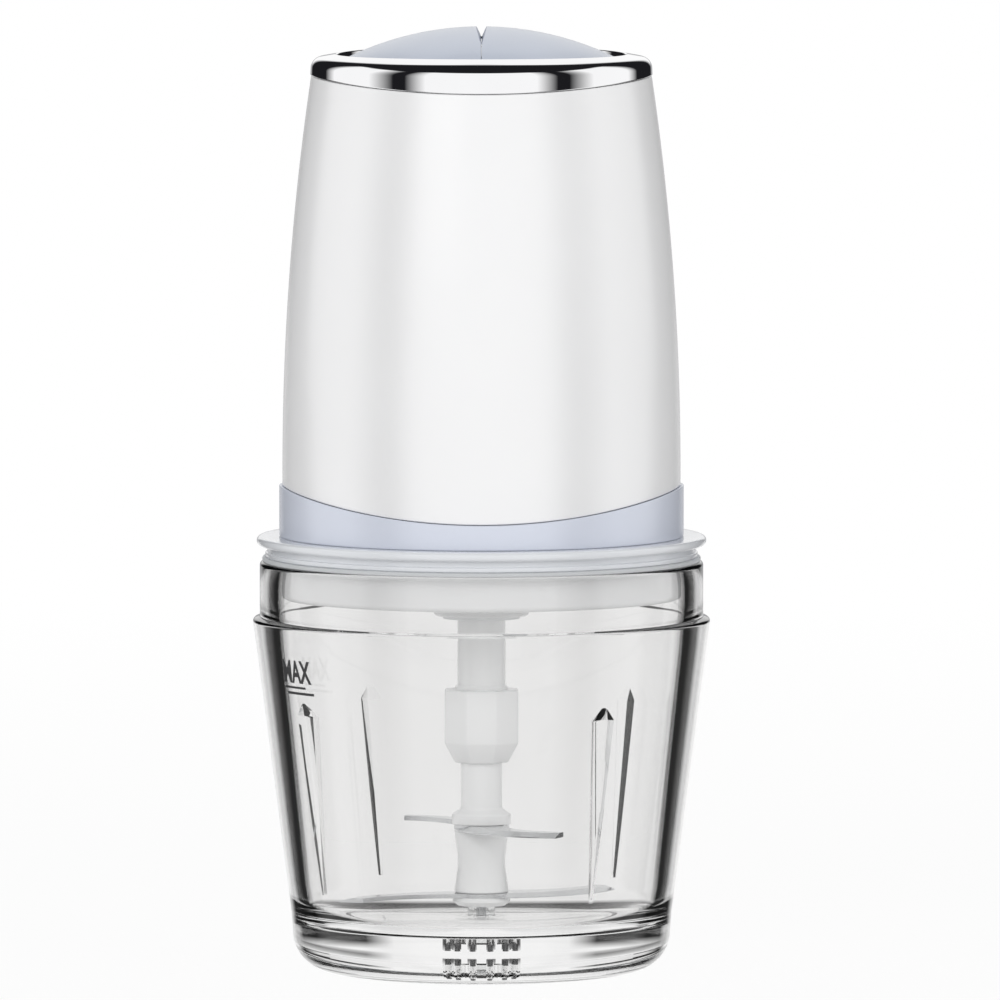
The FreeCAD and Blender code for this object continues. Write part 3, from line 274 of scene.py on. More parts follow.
def laminationPaint(name):  # a stack of thin plates: a dark joint every half millimetre of height
    paint = newPaint(name)
    height = paint.axes()[2]
    joint = paint.maths("FRACT", height / (0.5 * mm)) < 0.18
    rust = paint.noise(3, 4.0)
    face = paint.blend(rust, (0.30, 0.30, 0.31), (0.42, 0.42, 0.43))
    tone = paint.blend(joint, face, (0.10, 0.09, 0.09))
    finishPaint(paint, Base_Color=tone, Metallic=0.9, Roughness=0.36 + 0.2 * rust,
                Normal=paint.bump(1 - joint, 0.06, 0.8))


def windingPaint(name):  # varnished wire laid side by side, with painted shade in the grooves between the wires
    paint = newPaint(name)
    x, y, z = paint.axes()
    around = paint.maths("ARCTAN2", y, x) * 14 + z / (0.9 * mm)
    strand = abs(paint.maths("SINE", around * pi))
    varnish = paint.noise(4, 3.0)
    # painted shade: dark where neighbouring wires meet, copper along each wire's crest
    tone = paint.blend(strand, (0.20, 0.07, 0.03), (0.66, 0.29, 0.13))
    tone = paint.blend(varnish * 0.5, tone, (0.40, 0.16, 0.06))
    finishPaint(paint, Base_Color=tone, Metallic=0.75, Roughness=0.24 + 0.15 * varnish,
                Normal=paint.bump(strand, 0.12, 0.9), Coat_Weight=0.5)


def boardPaint(name):  # green lacquer over copper tracks
    paint = newPaint(name)
    tracks = paint.wire("TexBrick", {"offset": 0.5}, out="Fac", Vector=paint.wire("TexCoord", out="Object"),
                        Scale=160.0, Mortar_Size=0.08)
    grain = paint.noise(0.8, 3.0)
    tone = paint.blend(tracks, (0.02, 0.17, 0.07), (0.05, 0.30, 0.13))
    tone = paint.blend(grain * 0.3, tone, (0.01, 0.12, 0.05))
    finishPaint(paint, Base_Color=tone, Roughness=0.30 + 0.15 * grain, Normal=paint.bump(tracks, 0.04, 0.7),
                Coat_Weight=0.5)


def printPaint(name):  # dark ink, a little uneven where it was pressed on; the floor pits' painted shade uses it too
    paint = newPaint(name)
    press = paint.noise(0.5, 3.0)
    tone = paint.blend(press, (0.012, 0.012, 0.013), (0.05, 0.05, 0.052))
    finishPaint(paint, Base_Color=tone, Roughness=0.42 + 0.15 * press, Normal=paint.bump(press, 0.01, 0.4))


for name, look in plastics.items():
    plasticPaint(name, look)
for name, look in metals.items():
    metalPaint(name, look)
glassPaint("bowl_glass", (0.896, 0.894, 0.892), 1.5, 34, 0.03)
glassPaint("clear_plastic", (0.90, 0.91, 0.91), 1.47, 6, 0.004)
chromePaint("ring_chrome")
laminationPaint("lamination_steel")
windingPaint("winding_copper")
boardPaint("board_green")
printPaint("print_ink")

for entry in frame["record"]["subparts"]:  # every carried-over node gets its slot's finish
    mesh = frame["nodes"][entry["node"]].data
    mesh.materials.clear()
    mesh.materials.append(paints[entry["material_slot"]])
print("finishes made", len(paints))


# shaping

def outline(corners, closed=True, longest=0):  # a wire through corners of (radius, height, rounding)
    bm = bmesh.new()
    points = [bm.verts.new((radius * mm, 0, height * mm)) for radius, height, soft in corners]
    for first, second in zip(points, points[1:]):
        bm.edges.new((first, second))
    if closed:
        bm.edges.new((points[-1], points[0]))
    for point, (radius, height, soft) in zip(points, corners):
        if soft > 0:
            arms = [edge.other_vert(point).co - point.co for edge in point.link_edges]
            inside = arms[0].angle(arms[1])
            steps = max(2, ceil((pi - inside) / radians(9)))
            bmesh.ops.bevel(bm, geom=[point], offset=soft * mm / tan(inside / 2), offset_type="OFFSET",
                            segments=steps, profile=0.5, affect="VERTICES", material=-1)
    if longest:
        for edge in bm.edges[:]:
            cuts = int(edge.calc_length() / (longest * mm))
            if cuts:
                bmesh.ops.subdivide_edges(bm, edges=[edge], cuts=cuts)
    return bm


def spinUp(bm, steps=192):
    bmesh.ops.spin(bm, geom=bm.verts[:] + bm.edges[:], cent=(0, 0, 0), axis=(0, 0, 1), angle=2 * pi,
                   steps=steps, use_merge=True)
    return tidied(bm)


def tidied(bm):
    bmesh.ops.remove_doubles(bm, verts=bm.verts, dist=1e-6)
    bmesh.ops.recalc_face_normals(bm, faces=bm.faces)
    return bm


def turned(corners, steps=192, longest=0):
    return spinUp(outline(corners, True, longest), steps)


def rounded(bm, edges, offset, segments=3):
    bmesh.ops.bevel(bm, geom=edges, offset=offset * mm, segments=segments, profile=0.5, affect="EDGES",
                    material=-1)


def asObject(bm, name):
    mesh = bpy.data.meshes.new(name)
    bm.to_mesh(mesh)
    bm.free()
    made = bpy.data.objects.new(name, mesh)
    scene.collection.objects.link(made)
    return made


def carve(bm, tool, operation="DIFFERENCE"):  # one solid cut by, or joined to, another
    work = asObject(bm, "work")
    cutter = asObject(tool, "cutter")
    change = work.modifiers.new("carve", "BOOLEAN")
    change.operation = operation
    change.solver = "EXACT"
    change.object = cutter
    result = bmesh.new()
    result.from_object(work, bpy.context.evaluated_depsgraph_get())
    for spent in (work, cutter):
        bpy.data.objects.remove(spent)
    return result


def together(pieces):  # several closed shapes in one mesh
    result = bmesh.new()
    for bm in pieces:
        mesh = bpy.data.meshes.new("part")
        bm.to_mesh(mesh)
        bm.free()
        result.from_mesh(mesh)
        bpy.data.meshes.remove(mesh)
    return result


def cylinder(radius, low, high, x=0, sides=48, soft=0):
    bm = bmesh.new()
    place = Matrix.Translation((x * mm, 0, (low + high) / 2 * mm))
    bmesh.ops.create_cone(bm, cap_ends=True, segments=sides, radius1=radius * mm, radius2=radius * mm,
                          depth=(high - low) * mm, matrix=place)
    if soft:
        rims = [edge for edge in bm.edges if abs(edge.verts[0].co.z - edge.verts[1].co.z) < 1e-7]
        rounded(bm, rims, soft)
    return bm


def box(low, high, soft=0):
    bm = bmesh.new()
    low = Vector(low) * mm
    high = Vector(high) * mm
    size = high - low
    place = Matrix.Translation((low + high) / 2) @ Matrix.Diagonal((*size, 1))
    bmesh.ops.create_cube(bm, size=1, matrix=place)
    if soft:
        rounded(bm, bm.edges[:], soft)
    return bm


def spunRound(bm, angle):
    bmesh.ops.rotate(bm, verts=bm.verts, cent=(0, 0, 0), matrix=Matrix.Rotation(radians(angle), 3, "Z"))
    return bm


def keep(bm, name, body, slot, replaced=(), sharp=30, paint=None):
    made = asObject(bm, name)
    made.data.shade_smooth()
    made.data.set_sharp_from_angle(angle=radians(sharp))
    made.data.materials.append(paints[paint or slot])
    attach(made, body)
    if replaced:
        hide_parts(*replaced)
    print("made", name, len(made.data.polygons))
    return made


# glass bowl

bowl = dict(rim=110.7, floor=12.6, foot=50.3, waist=51.4, waistHeight=15.4, shoulder=61.9, collar=59.9,
            collarLow=95.7, collarInner=55.0, waistInner=46.8, punt=37.0, puntDepth=1.2, socket=3.8,
            socketLow=9.6, ribAngles=(38, 127, 212, 306.5), ribLow=23, ribRidge=71.5, ribPoint=76.5,
            ribDepth=2.2, ribHalf=4.0, ribTop=2.2, ribSunk=1, ribSoft=0.25, footDepth=0.9, footHalf=0.7,
            footTop=0.3, shoulderTrim=0.08, shoulderDrop=0.6)

# small pits in the floor round the post, with painted shade: a dark plug at the bottom of each stands in for
# the shade the pit shows through the glass
pits = dict(count=12, turn=15, ring=6.4, radius=0.75, low=8.2, dotRadius=0.7, dotGap=0.05, dotHeight=1.5)


def wallInside(height):
    slope = (bowl["collarInner"] - bowl["waistInner"]) / (bowl["collarLow"] - bowl["waistHeight"])
    return bowl["waistInner"] + slope * (height - bowl["waistHeight"])


def makeRib():  # a flat ridge that narrows downwards, with a pointed top, sunk a little into the wall
    bm = bmesh.new()
    b = bowl
    rows = [(b["ribRidge"], -b["ribSunk"], b["ribHalf"]), (b["ribRidge"], b["ribDepth"], b["ribTop"]),
            (b["ribLow"], -b["ribSunk"], b["footHalf"]), (b["ribLow"], b["footDepth"], b["footTop"]),
            (b["ribPoint"], -b["ribSunk"], 0)]
    for height, inward, half in rows:
        for side in (-half, half):
            bm.verts.new(Vector((wallInside(height) - inward, side, height)) * mm)
    bmesh.ops.remove_doubles(bm, verts=bm.verts, dist=1e-6)
    bmesh.ops.convex_hull(bm, input=bm.verts)
    bmesh.ops.dissolve_limit(bm, angle_limit=radians(1), verts=bm.verts, edges=bm.edges)
    rounded(bm, bm.edges[:], bowl["ribSoft"], 2)
    return tidied(bm)


def makeBowl():
    b = bowl
    body = turned([
        (0, b["puntDepth"], 0), (b["punt"], b["puntDepth"], 1.0), (b["punt"] + 1.2, 0, 0.8),
        (b["foot"], 0, 10), (b["waist"], b["waistHeight"], 12),
        (b["shoulder"] - b["shoulderTrim"], b["collarLow"] - b["shoulderDrop"], 0.9),
        (b["collar"], b["collarLow"], 0.3), (b["collar"], b["rim"], 1.2), (b["collarInner"], b["rim"], 1.2),
        (b["collarInner"], b["collarLow"], 6), (wallInside(b["floor"]), b["floor"], 8.5),
        (b["socket"], b["floor"], 0.3), (b["socket"], b["socketLow"], 0), (0, b["socketLow"], 0),
    ], 224, 5)
    body = carve(body, together([spunRound(makeRib(), angle) for angle in b["ribAngles"]]), "UNION")
    holes = []
    pitShades = []
    for pit in range(pits["count"]):
        turn = pits["turn"] + 360 / pits["count"] * pit
        hole = cylinder(pits["radius"], pits["low"], b["floor"] + 0.5, pits["ring"], 12)
        holes.append(spunRound(hole, turn))
        # painted shade: a dark plug at the bottom of each pit
        pitShade = cylinder(pits["dotRadius"], pits["low"] + pits["dotGap"], pits["low"] + pits["dotHeight"],
                       pits["ring"], 12)
        pitShades.append(spunRound(pitShade, turn))
    body = carve(body, together(holes))
    # the pits' painted shade takes the ink finish
    keep(together(pitShades), "floorDots", "bowl", "bowl_glass", paint="print_ink")
    keep(body, "bowlGlass", "bowl", "bowl_glass", ["glass_bowl"], 28)


post = dict(radius=3.7, low=9.6, top=23.2, bore=1.42, boreLow=11.6, pin=1.35, pinTop=23.5)


def makePost():
    p = post
    stand = turned([(0, p["low"], 0), (p["radius"], p["low"], 0), (p["radius"], p["top"], 0.5),
                    (p["bore"], p["top"], 0.2), (p["bore"], p["boreLow"], 0), (0, p["boreLow"], 0)], 64)
    keep(stand, "floorPost", "bowl", "clear_plastic", ["bowl_post"])
    pin = turned([(0, p["boreLow"], 0), (p["pin"], p["boreLow"], 0.1), (p["pin"], p["pinTop"], 0.5),
                  (0, p["pinTop"], 0)], 48)
    keep(pin, "postPin", "bowl", "pin_steel", ["pivot_pin"])


makeBowl()
makePost()


# words and lines on the glass

# a line is (left, right, bottom, top), measured up and down from the foot of the letters
marks = dict(azimuth=-145.3, low=80.3, height=6.2, width=12.8, weight=0.028, lift=0.04, thick=0.05,
             longest=1.2, lines=[(-6.2, 3.6, 1.5, 0.9), (-5.2, 6.9, 3.1, 2.4)])


def wallOutside(height):
    top = bowl["collarLow"] - bowl["shoulderDrop"]
    slope = (bowl["shoulder"] - bowl["waist"]) / (top - bowl["waistHeight"])
    return bowl["waist"] + slope * (height - bowl["waistHeight"])


def wrapped(bm, azimuth):  # bends a flat drawing, x across and y up in mm, round the bowl
    for vert in bm.verts:
        across, height = vert.co.x, vert.co.y
        radius = wallOutside(height) + marks["lift"] + vert.co.z
        angle = radians(azimuth) + across / radius
        vert.co = Vector((radius * cos(angle), radius * sin(angle), height)) * mm
    return bm


def letters(words, width, height, low):
    curve = bpy.data.curves.new("words", "FONT")
    curve.body = words
    curve.align_x = "CENTER"
    curve.resolution_u = 4
    curve.offset = marks["weight"]
    writing = bpy.data.objects.new("words", curve)
    scene.collection.objects.link(writing)
    bpy.context.view_layer.update()
    mesh = bpy.data.meshes.new_from_object(writing.evaluated_get(bpy.context.evaluated_depsgraph_get()))
    bpy.data.objects.remove(writing)
    bm = bmesh.new()
    bm.from_mesh(mesh)
    bpy.data.meshes.remove(mesh)
    spans = [[vert.co[axis] for vert in bm.verts] for axis in (0, 1)]
    stretch = (width / (max(spans[0]) - min(spans[0])), height / (max(spans[1]) - min(spans[1])), 1)
    bmesh.ops.translate(bm, verts=bm.verts, vec=(-(max(spans[0]) + min(spans[0])) / 2, -min(spans[1]), 0))
    bmesh.ops.scale(bm, verts=bm.verts, vec=stretch)
    bmesh.ops.translate(bm, verts=bm.verts, vec=(0, low, 0))
    return bm


def line(left, right, low, high):
    bm = bmesh.new()
    bmesh.ops.create_grid(bm, x_segments=12, y_segments=1, size=0.5)
    bmesh.ops.scale(bm, verts=bm.verts, vec=(right - left, high - low, 1))
    bmesh.ops.translate(bm, verts=bm.verts, vec=((left + right) / 2, (low + high) / 2, 0))
    return bm


def inked(bm):  # gives a flat drawing the thickness of a printed film
    bmesh.ops.triangulate(bm, faces=bm.faces)
    long = [edge for edge in bm.edges if edge.calc_length() > marks["longest"]]
    bmesh.ops.subdivide_edges(bm, edges=long, cuts=2)
    grown = bmesh.ops.extrude_face_region(bm, geom=bm.faces[:])
    raised = [item for item in grown["geom"] if isinstance(item, bmesh.types.BMVert)]
    bmesh.ops.translate(bm, verts=raised, vec=(0, 0, marks["thick"]))
    return bm


def makeMarks():
    shapes = [letters("MAX", marks["width"], marks["height"], marks["low"])]
    for left, right, bottom, top in marks["lines"]:
        shapes.append(line(left, right, marks["low"] - bottom, marks["low"] - top))
    drawing = wrapped(inked(together(shapes)), marks["azimuth"])
    keep(tidied(drawing), "fillWord", "bowl", "bowl_glass", paint="print_ink")


makeMarks()


# lid, seal and bush

lid = dict(flange=60.7, flangeTop=117.4, flangeLow=115.0, neck=57.8, neckLow=113.2, lip=58.4, lipLow=111.9,
           skirt=54.0, skirtInner=52.0, skirtLow=101.0, well=38.5, wellStep=1.3, wellLow=99.7, wellTop=101.7,
           boss=12.96, bossLow=95.8, bush=8.56, keyAngles=(90, 210, 330), keyInner=50.6, keyOuter=53,
           keyHalf=2)
seal = dict(inner=54.2, outer=59.2, low=110.7, top=111.9)
bush = dict(bore=6.56, body=8.56, flange=10.46, low=94.8, step=95.8, top=99.5)


def makeLid():
    p = lid
    step = p["wellStep"]
    body = turned([
        (p["skirtInner"], p["flangeTop"], 0.6), (p["flange"], p["flangeTop"], 1.1),
        (p["flange"], p["flangeLow"], 1.1), (p["neck"], p["flangeLow"], 0.5), (p["neck"], p["neckLow"], 0.3),
        (p["lip"], p["neckLow"], 0.4), (p["lip"], p["lipLow"], 0.4), (p["skirt"], p["lipLow"], 0.3),
        (p["skirt"], p["skirtLow"], 1.6), (p["well"] + step, p["skirtLow"], 0.6),
        (p["well"], p["wellLow"], 0.8), (p["boss"], p["wellLow"], 0.8), (p["boss"], p["bossLow"], 1.2),
        (p["bush"], p["bossLow"], 0),
        (p["bush"], p["wellTop"], 0.3), (p["well"] - 2, p["wellTop"], 0.6),
        (p["well"] - 2 + step, p["wellTop"] + step, 0.6), (p["skirtInner"], p["wellTop"] + step, 1.2),
    ], 224, 6)
    low = (p["keyInner"], -p["keyHalf"], p["wellTop"] + step - 0.5)
    high = (p["keyOuter"], p["keyHalf"], p["flangeTop"] - 3)
    body = carve(body, together([spunRound(box(low, high, 0.3), angle) for angle in p["keyAngles"]]), "UNION")
    keep(body, "lidShell", "lid", "lid_plastic", ["bowl_lid"], 28)


def makeSealAndBush():
    p = seal
    ring = turned([(p["inner"], p["low"], 0.2), (p["outer"], p["low"], 0.45), (p["outer"], p["top"], 0.45),
                   (p["inner"], p["top"], 0.2)], 224)
    keep(ring, "lidGasket", frame["nodes"]["lid_seal"].parent.name[5:], "silicone", ["lid_seal"])
    p = bush
    sleeve = turned([(p["bore"], p["low"], 0.2), (p["flange"], p["low"], 0.4), (p["flange"], p["step"], 0.2),
                     (p["body"], p["step"], 0), (p["body"], p["top"], 0.2), (p["bore"], p["top"], 0.2)], 96)
    keep(sleeve, "spindleBush", "lid", "bush_plastic", ["spindle_bush"])


# spindle

spindle = dict(seat=4.7, low=17.6, gripLow=40.3, gripTop=43.1, grip=8.0, stem=5.6, hub=9.9, hubLow=57.2,
               hubHigh=77.0, tube=6.5, tubeTop=99.3, nub=3.5, nubTop=107.0, bore=3.76, boreTop=23.8,
               joint=3, bead=0.6)


def prism(sides, flats, corners, soft):  # a spun shape with flat sides; corners are (share of flats, height)
    reach = flats / cos(pi / sides)
    bm = turned([(share * reach, height, 0) for share, height in corners], sides)
    bmesh.ops.dissolve_limit(bm, angle_limit=radians(1), verts=bm.verts, edges=bm.edges)
    rounded(bm, bm.edges[:], soft)
    return spunRound(bm, 180 / sides)


def makeSpindle():
    s = spindle
    stem = turned([
        (0, s["boreTop"], 0), (s["bore"], s["boreTop"], 0), (s["bore"], s["low"], 0.2),
        (s["seat"], s["low"], 0.3), (s["seat"], s["gripLow"], 0), (s["grip"], s["gripLow"], 0.4),
        (s["grip"], s["gripTop"], 0.8), (s["stem"], s["gripTop"] + 1.5, 1.0),
        (s["stem"], s["hubLow"] + s["joint"], 0), (0, s["hubLow"] + s["joint"], 0)], 64)
    hub = prism(8, s["hub"], [(0, s["hubLow"]), (0.72, s["hubLow"]), (1, s["hubLow"] + 5.4),
                              (1, s["hubHigh"]), (0, s["hubHigh"])], 0.5)
    bead = s["tube"] + s["bead"]
    tube = turned([(0, s["hubHigh"] - s["joint"], 0), (s["tube"], s["hubHigh"] - s["joint"], 0),
                   (bead, s["hubHigh"] - 1, 0), (bead, s["hubHigh"] + 0.7, 0.3),
                   (s["tube"], s["hubHigh"] + 1.4, 0.4), (s["tube"], s["tubeTop"], 0.5),
                   (0, s["tubeTop"], 0)], 64)
    nub = prism(6, s["nub"], [(0, s["tubeTop"] - 2), (1, s["tubeTop"] - 2), (1, s["nubTop"] - 1),
                              (0.75, s["nubTop"]), (0, s["nubTop"])], 0.25)
    body = carve(stem, hub, "UNION")
    body = carve(body, tube, "UNION")
    body = carve(body, nub, "UNION")
    keep(body, "spindleBody", "blade", "frosted_plastic", ["blade_spindle"], 24)


makeLid()
makeSealAndBush()
makeSpindle()


# motor unit, outside

shell = dict(widest=53.75, widestHeight=135.0, top=45.9, topHeight=241.7, wall=2.4, seam=131.5, seamDip=7.2,
             band=54.6, bandLow=117.4, ringDip=3.0, gap=0.15, glandHeight=150.0, glandHole=4)
shelf = dict(inner=40.2, neck=43.0, outer=46.4, low=229.5, step=230.6, top=232.0)
screwPost = dict(angles=(20, 160, 200, 340), radius=3.5, at=43.9, low=107.0, top=160.0, web=1.2,
                 webInner=45.9, webOuter=52.5, webLow=139)
barrelRise = shell["topHeight"] - shell["widestHeight"]
barrelTaper = shell["widest"] - shell["top"]
bow = (barrelRise ** 2 + barrelTaper ** 2) / (2 * barrelTaper)  # radius of the side's arc


def barrelAt(height):
    rise = height - shell["widestHeight"]
    return shell["widest"] - bow + sqrt(bow * bow - rise * rise)


def seamAt(x, side, dip, halfWidth):  # both seams dip in front and behind
    radius = (halfWidth ** 2 + dip ** 2) / (2 * dip)
    return side - dip + radius - sqrt(radius * radius - min(abs(x), halfWidth) ** 2)


def collarSeam(x):
    return seamAt(x, shell["seam"], shell["seamDip"], shell["band"])


def ringSeam(x):
    return seamAt(x, shell["topHeight"], shell["ringDip"], shell["top"])


def saddle(bm, nominal, reach, curve, follow=True):  # drops the rows near a height on to a seam's curve
    for vert in bm.verts:
        height = vert.co.z / mm
        if abs(height - nominal) < reach:
            lowered = height + curve(vert.co.x / mm) - nominal
            if follow:
                radius = hypot(vert.co.x, vert.co.y) / mm
                grown = (radius + barrelAt(lowered) - barrelAt(height)) / radius
                vert.co.x *= grown
                vert.co.y *= grown
            vert.co.z = lowered * mm
    return bm


def makeHousing():
    wall = shell["wall"]
    foot = barrelAt(shell["seam"])
    rows = [shell["widestHeight"] + 4 * step for step in range(26)]
    outside = [(barrelAt(height), height, 0) for height in rows]
    inside = [(barrelAt(height) - wall, height, 0) for height in reversed(rows)]
    bottom = [(foot - wall, shell["seam"], 0.2), (foot, shell["seam"], 0.35)]
    top = [(shell["top"], shell["topHeight"], 0.35), (shell["top"] - wall, shell["topHeight"], 0.2)]
    body = turned(bottom + outside + top + inside, 224)
    saddle(body, shell["seam"], 1.0, collarSeam)
    saddle(body, shell["topHeight"], 1.0, ringSeam)
    hole = cylinder(shell["glandHole"], -10, 10, 0, 40)
    bmesh.ops.rotate(hole, verts=hole.verts, cent=(0, 0, 0), matrix=Matrix.Rotation(pi / 2, 3, "X"))
    bmesh.ops.translate(hole, verts=hole.verts, vec=(0, shell["widest"] * mm, shell["glandHeight"] * mm))
    body = carve(body, hole)
    ledge = turned([(shelf["neck"], shelf["low"], 0.4), (shelf["outer"], shelf["low"], 0),
                    (shelf["outer"], shelf["top"], 0), (shelf["inner"], shelf["top"], 0.4),
                    (shelf["inner"], shelf["step"], 0.4)], 128)
    extras = [body, ledge]
    p = screwPost
    for angle in p["angles"]:
        pillar = cylinder(p["radius"], p["low"], p["top"], p["at"], 32, 0.3)
        web = box((p["webInner"], -p["web"], p["webLow"]), (p["webOuter"], p["web"], p["top"]), 0.3)
        extras.append(spunRound(together([pillar, web]), angle))
    keep(together(extras), "housingBarrel", "motor_unit", "housing_plastic", ["housing_shell"], 28)


collar = dict(inner=50.55, step=121.0, spigot=50.4, low=104, plate=3, cup=51.05, cupTop=138, cupWall=2,
              centre=12, ventInner=30, ventOuter=45, ventHalf=1.5, vents=12, screwHead=3.3, headTop=105.4,
              screwHole=1.8, cutLow=102, cutTop=109, keyInner=47.3, keyOuter=53.5, keyHalf=2.5, keyTop=114.9,
              pillar=4, pillarAt=37, pillarLow=106.6, pillarTop=124.8)


def makeCollar():
    c = collar
    seam = shell["seam"] - shell["gap"]
    band = turned([(c["inner"], shell["bandLow"], 0.2), (shell["band"], shell["bandLow"], 0.5),
                   (shell["band"], c["step"], 0), (shell["band"], seam, 0.35), (c["inner"], seam, 0.2),
                   (c["inner"], c["step"], 0)], 224)
    saddle(band, seam, 1.0, lambda x: collarSeam(x) - shell["gap"], False)
    bandLow = shell["bandLow"]
    wall = c["cupWall"]
    cup = turned([(c["centre"], c["low"], 0.4), (c["spigot"], c["low"], 1.0), (c["spigot"], bandLow, 0.2),
                  (c["cup"], bandLow, 0), (c["cup"], c["cupTop"], 0.6), (c["cup"] - wall, c["cupTop"], 0.6),
                  (c["cup"] - wall, bandLow + wall, 0), (c["spigot"] - wall, bandLow + wall, 0.4),
                  (c["spigot"] - wall, c["low"] + c["plate"], 1.0),
                  (c["centre"], c["low"] + c["plate"], 0.4)], 160, 6)
    low = (c["ventInner"], -c["ventHalf"], c["cutLow"])
    high = (c["ventOuter"], c["ventHalf"], c["cutTop"])
    slots = [spunRound(box(low, high, 1.0), 360 / c["vents"] * slot) for slot in range(c["vents"])]
    at = screwPost["at"]
    for angle in screwPost["angles"]:
        slots.append(spunRound(cylinder(c["screwHead"], c["cutLow"], c["headTop"], at, 32), angle))
        slots.append(spunRound(cylinder(c["screwHole"], c["cutLow"], c["cutTop"], at, 24), angle))
    low = (c["keyInner"], -c["keyHalf"], c["cutLow"])
    high = (c["keyOuter"], c["keyHalf"], c["keyTop"])
    slots += [spunRound(box(low, high, 0.4), angle) for angle in lid["keyAngles"]]
    cup = carve(cup, together(slots))
    pillars = []
    for angle in (45, 135, 225, 315):
        pillar = cylinder(c["pillar"], c["pillarLow"], c["pillarTop"], c["pillarAt"], 32, 0.4)
        pillars.append(spunRound(pillar, angle))
    keep(together([band, cup] + pillars), "collarBand", "motor_unit", "collar_plastic", ["base_collar"], 28)


ring = dict(foot=46.12, corner=45.9, cornerHeight=246.6, lip=39.0, top=247.5, inner=38.6, innerLow=245.4,
            seat=42.2, reach=4.4, dip=0.6, lipRise=1.1, lipFade=5.0, lipFrom=246.0, sleeve=41.5,
            sleeveOuter=43.2, sleeveLow=235.5, sleeveTop=245.9, hookHalf=3.5, hookLow=227.9, hookTop=236.5,
            hookLip=44.4, hookLipTop=229.3)


def makeRing():  # its top dips in front and behind, where its inner lip stands higher
    r = ring
    low = shell["topHeight"] + shell["gap"]
    crown = turned([(r["seat"], low, 0.2), (r["foot"], low, 0.3), (r["corner"], r["cornerHeight"], 3.2),
                    (r["lip"], r["top"], 0.5), (r["inner"], r["innerLow"], 0.3),
                    (r["seat"], r["innerLow"], 0)], 256)
    saddle(crown, low, 0.7, lambda x: ringSeam(x) + shell["gap"], False)
    saddle(crown, r["top"], r["reach"], lambda x: seamAt(x, r["top"], r["dip"], shell["top"]), False)
    for vert in crown.verts:
        inward = max(0.0, 1 - (hypot(vert.co.x, vert.co.y) / mm - r["lip"]) / r["lipFade"])
        if vert.co.z > r["lipFrom"] * mm:
            vert.co.z += r["lipRise"] * mm * min(1.0, inward) * (1 - (vert.co.x / (46 * mm)) ** 2)
    sleeve = turned([(r["sleeve"], r["sleeveLow"], 0.3), (r["sleeveOuter"], r["sleeveLow"], 0.3),
                     (r["sleeveOuter"], r["sleeveTop"], 0), (r["sleeve"], r["sleeveTop"], 0)], 128)
    hooks = []
    half = r["hookHalf"]
    for angle in (45, 135, 225, 315):
        arm = box((r["sleeve"], -half, r["hookLow"]), (r["sleeveOuter"], half, r["hookTop"]), 0.2)
        tip = box((r["sleeveOuter"] - 0.2, -half, r["hookLow"]), (r["hookLip"], half, r["hookLipTop"]), 0.2)
        hooks.append(spunRound(together([arm, tip]), angle))
    keep(together([crown, sleeve] + hooks), "topRing", "motor_unit", "ring_chrome", ["chrome_ring"], 30)


gland = dict(bore=2.9, head=6.2, rim=5.9, neck=3.95, back=-4.6, backTop=-3.0, front=-0.2, rimLow=-0.4,
             rimTop=1.6)


def makeGland():
    g = gland
    bm = turned([(g["bore"], g["back"], 0.3), (g["head"], g["back"], 0.4), (g["head"], g["backTop"], 0.3),
                 (g["neck"], g["backTop"], 0), (g["neck"], g["front"], 0), (g["head"], g["rimLow"], 0.2),
                 (g["rim"], g["rimTop"], 0.8), (g["bore"], g["rimTop"], 0.6)], 64)
    height = shell["glandHeight"]
    bmesh.ops.rotate(bm, verts=bm.verts, cent=(0, 0, 0), matrix=Matrix.Rotation(-pi / 2, 3, "X"))
    bmesh.ops.translate(bm, verts=bm.verts, vec=(0, barrelAt(height) * mm, height * mm))
    keep(tidied(bm), "cordGland", "motor_unit", "black_rubber", ["cord_gland"])


makeHousing()
makeCollar()
makeRing()
makeGland()


# the two buttons

button = dict(radius=38.2, top=254.9, dome=82.6, skirtLow=238.5, wall=2.0, split=0.08, notchWidth=1.45,
              notchDepth=4.0, inner=1.5, stemAt=18.0, stem=4.0, stemLow=230.6, seat=8.0, seatLow=244.0,
              travel=3.0)


def domeAt(radius):
    return button["top"] - button["dome"] + sqrt(button["dome"] ** 2 - radius ** 2)


def closeCut(bm, point, normal):  # trims what lies beyond a plane and closes the opening
    cut = bmesh.ops.bisect_plane(bm, geom=bm.verts[:] + bm.edges[:] + bm.faces[:], dist=1e-7,
                                 plane_co=Vector(point) * mm, plane_no=normal, clear_outer=True)
    edges = [item for item in cut["geom_cut"] if isinstance(item, bmesh.types.BMEdge)]
    ends = [vert for vert in {vert for edge in edges for vert in edge.verts}
            if len([edge for edge in vert.link_edges if edge in edges]) == 1]
    if len(ends) == 2:
        edges.append(bm.edges.new(ends))
    bmesh.ops.contextual_create(bm, geom=edges)


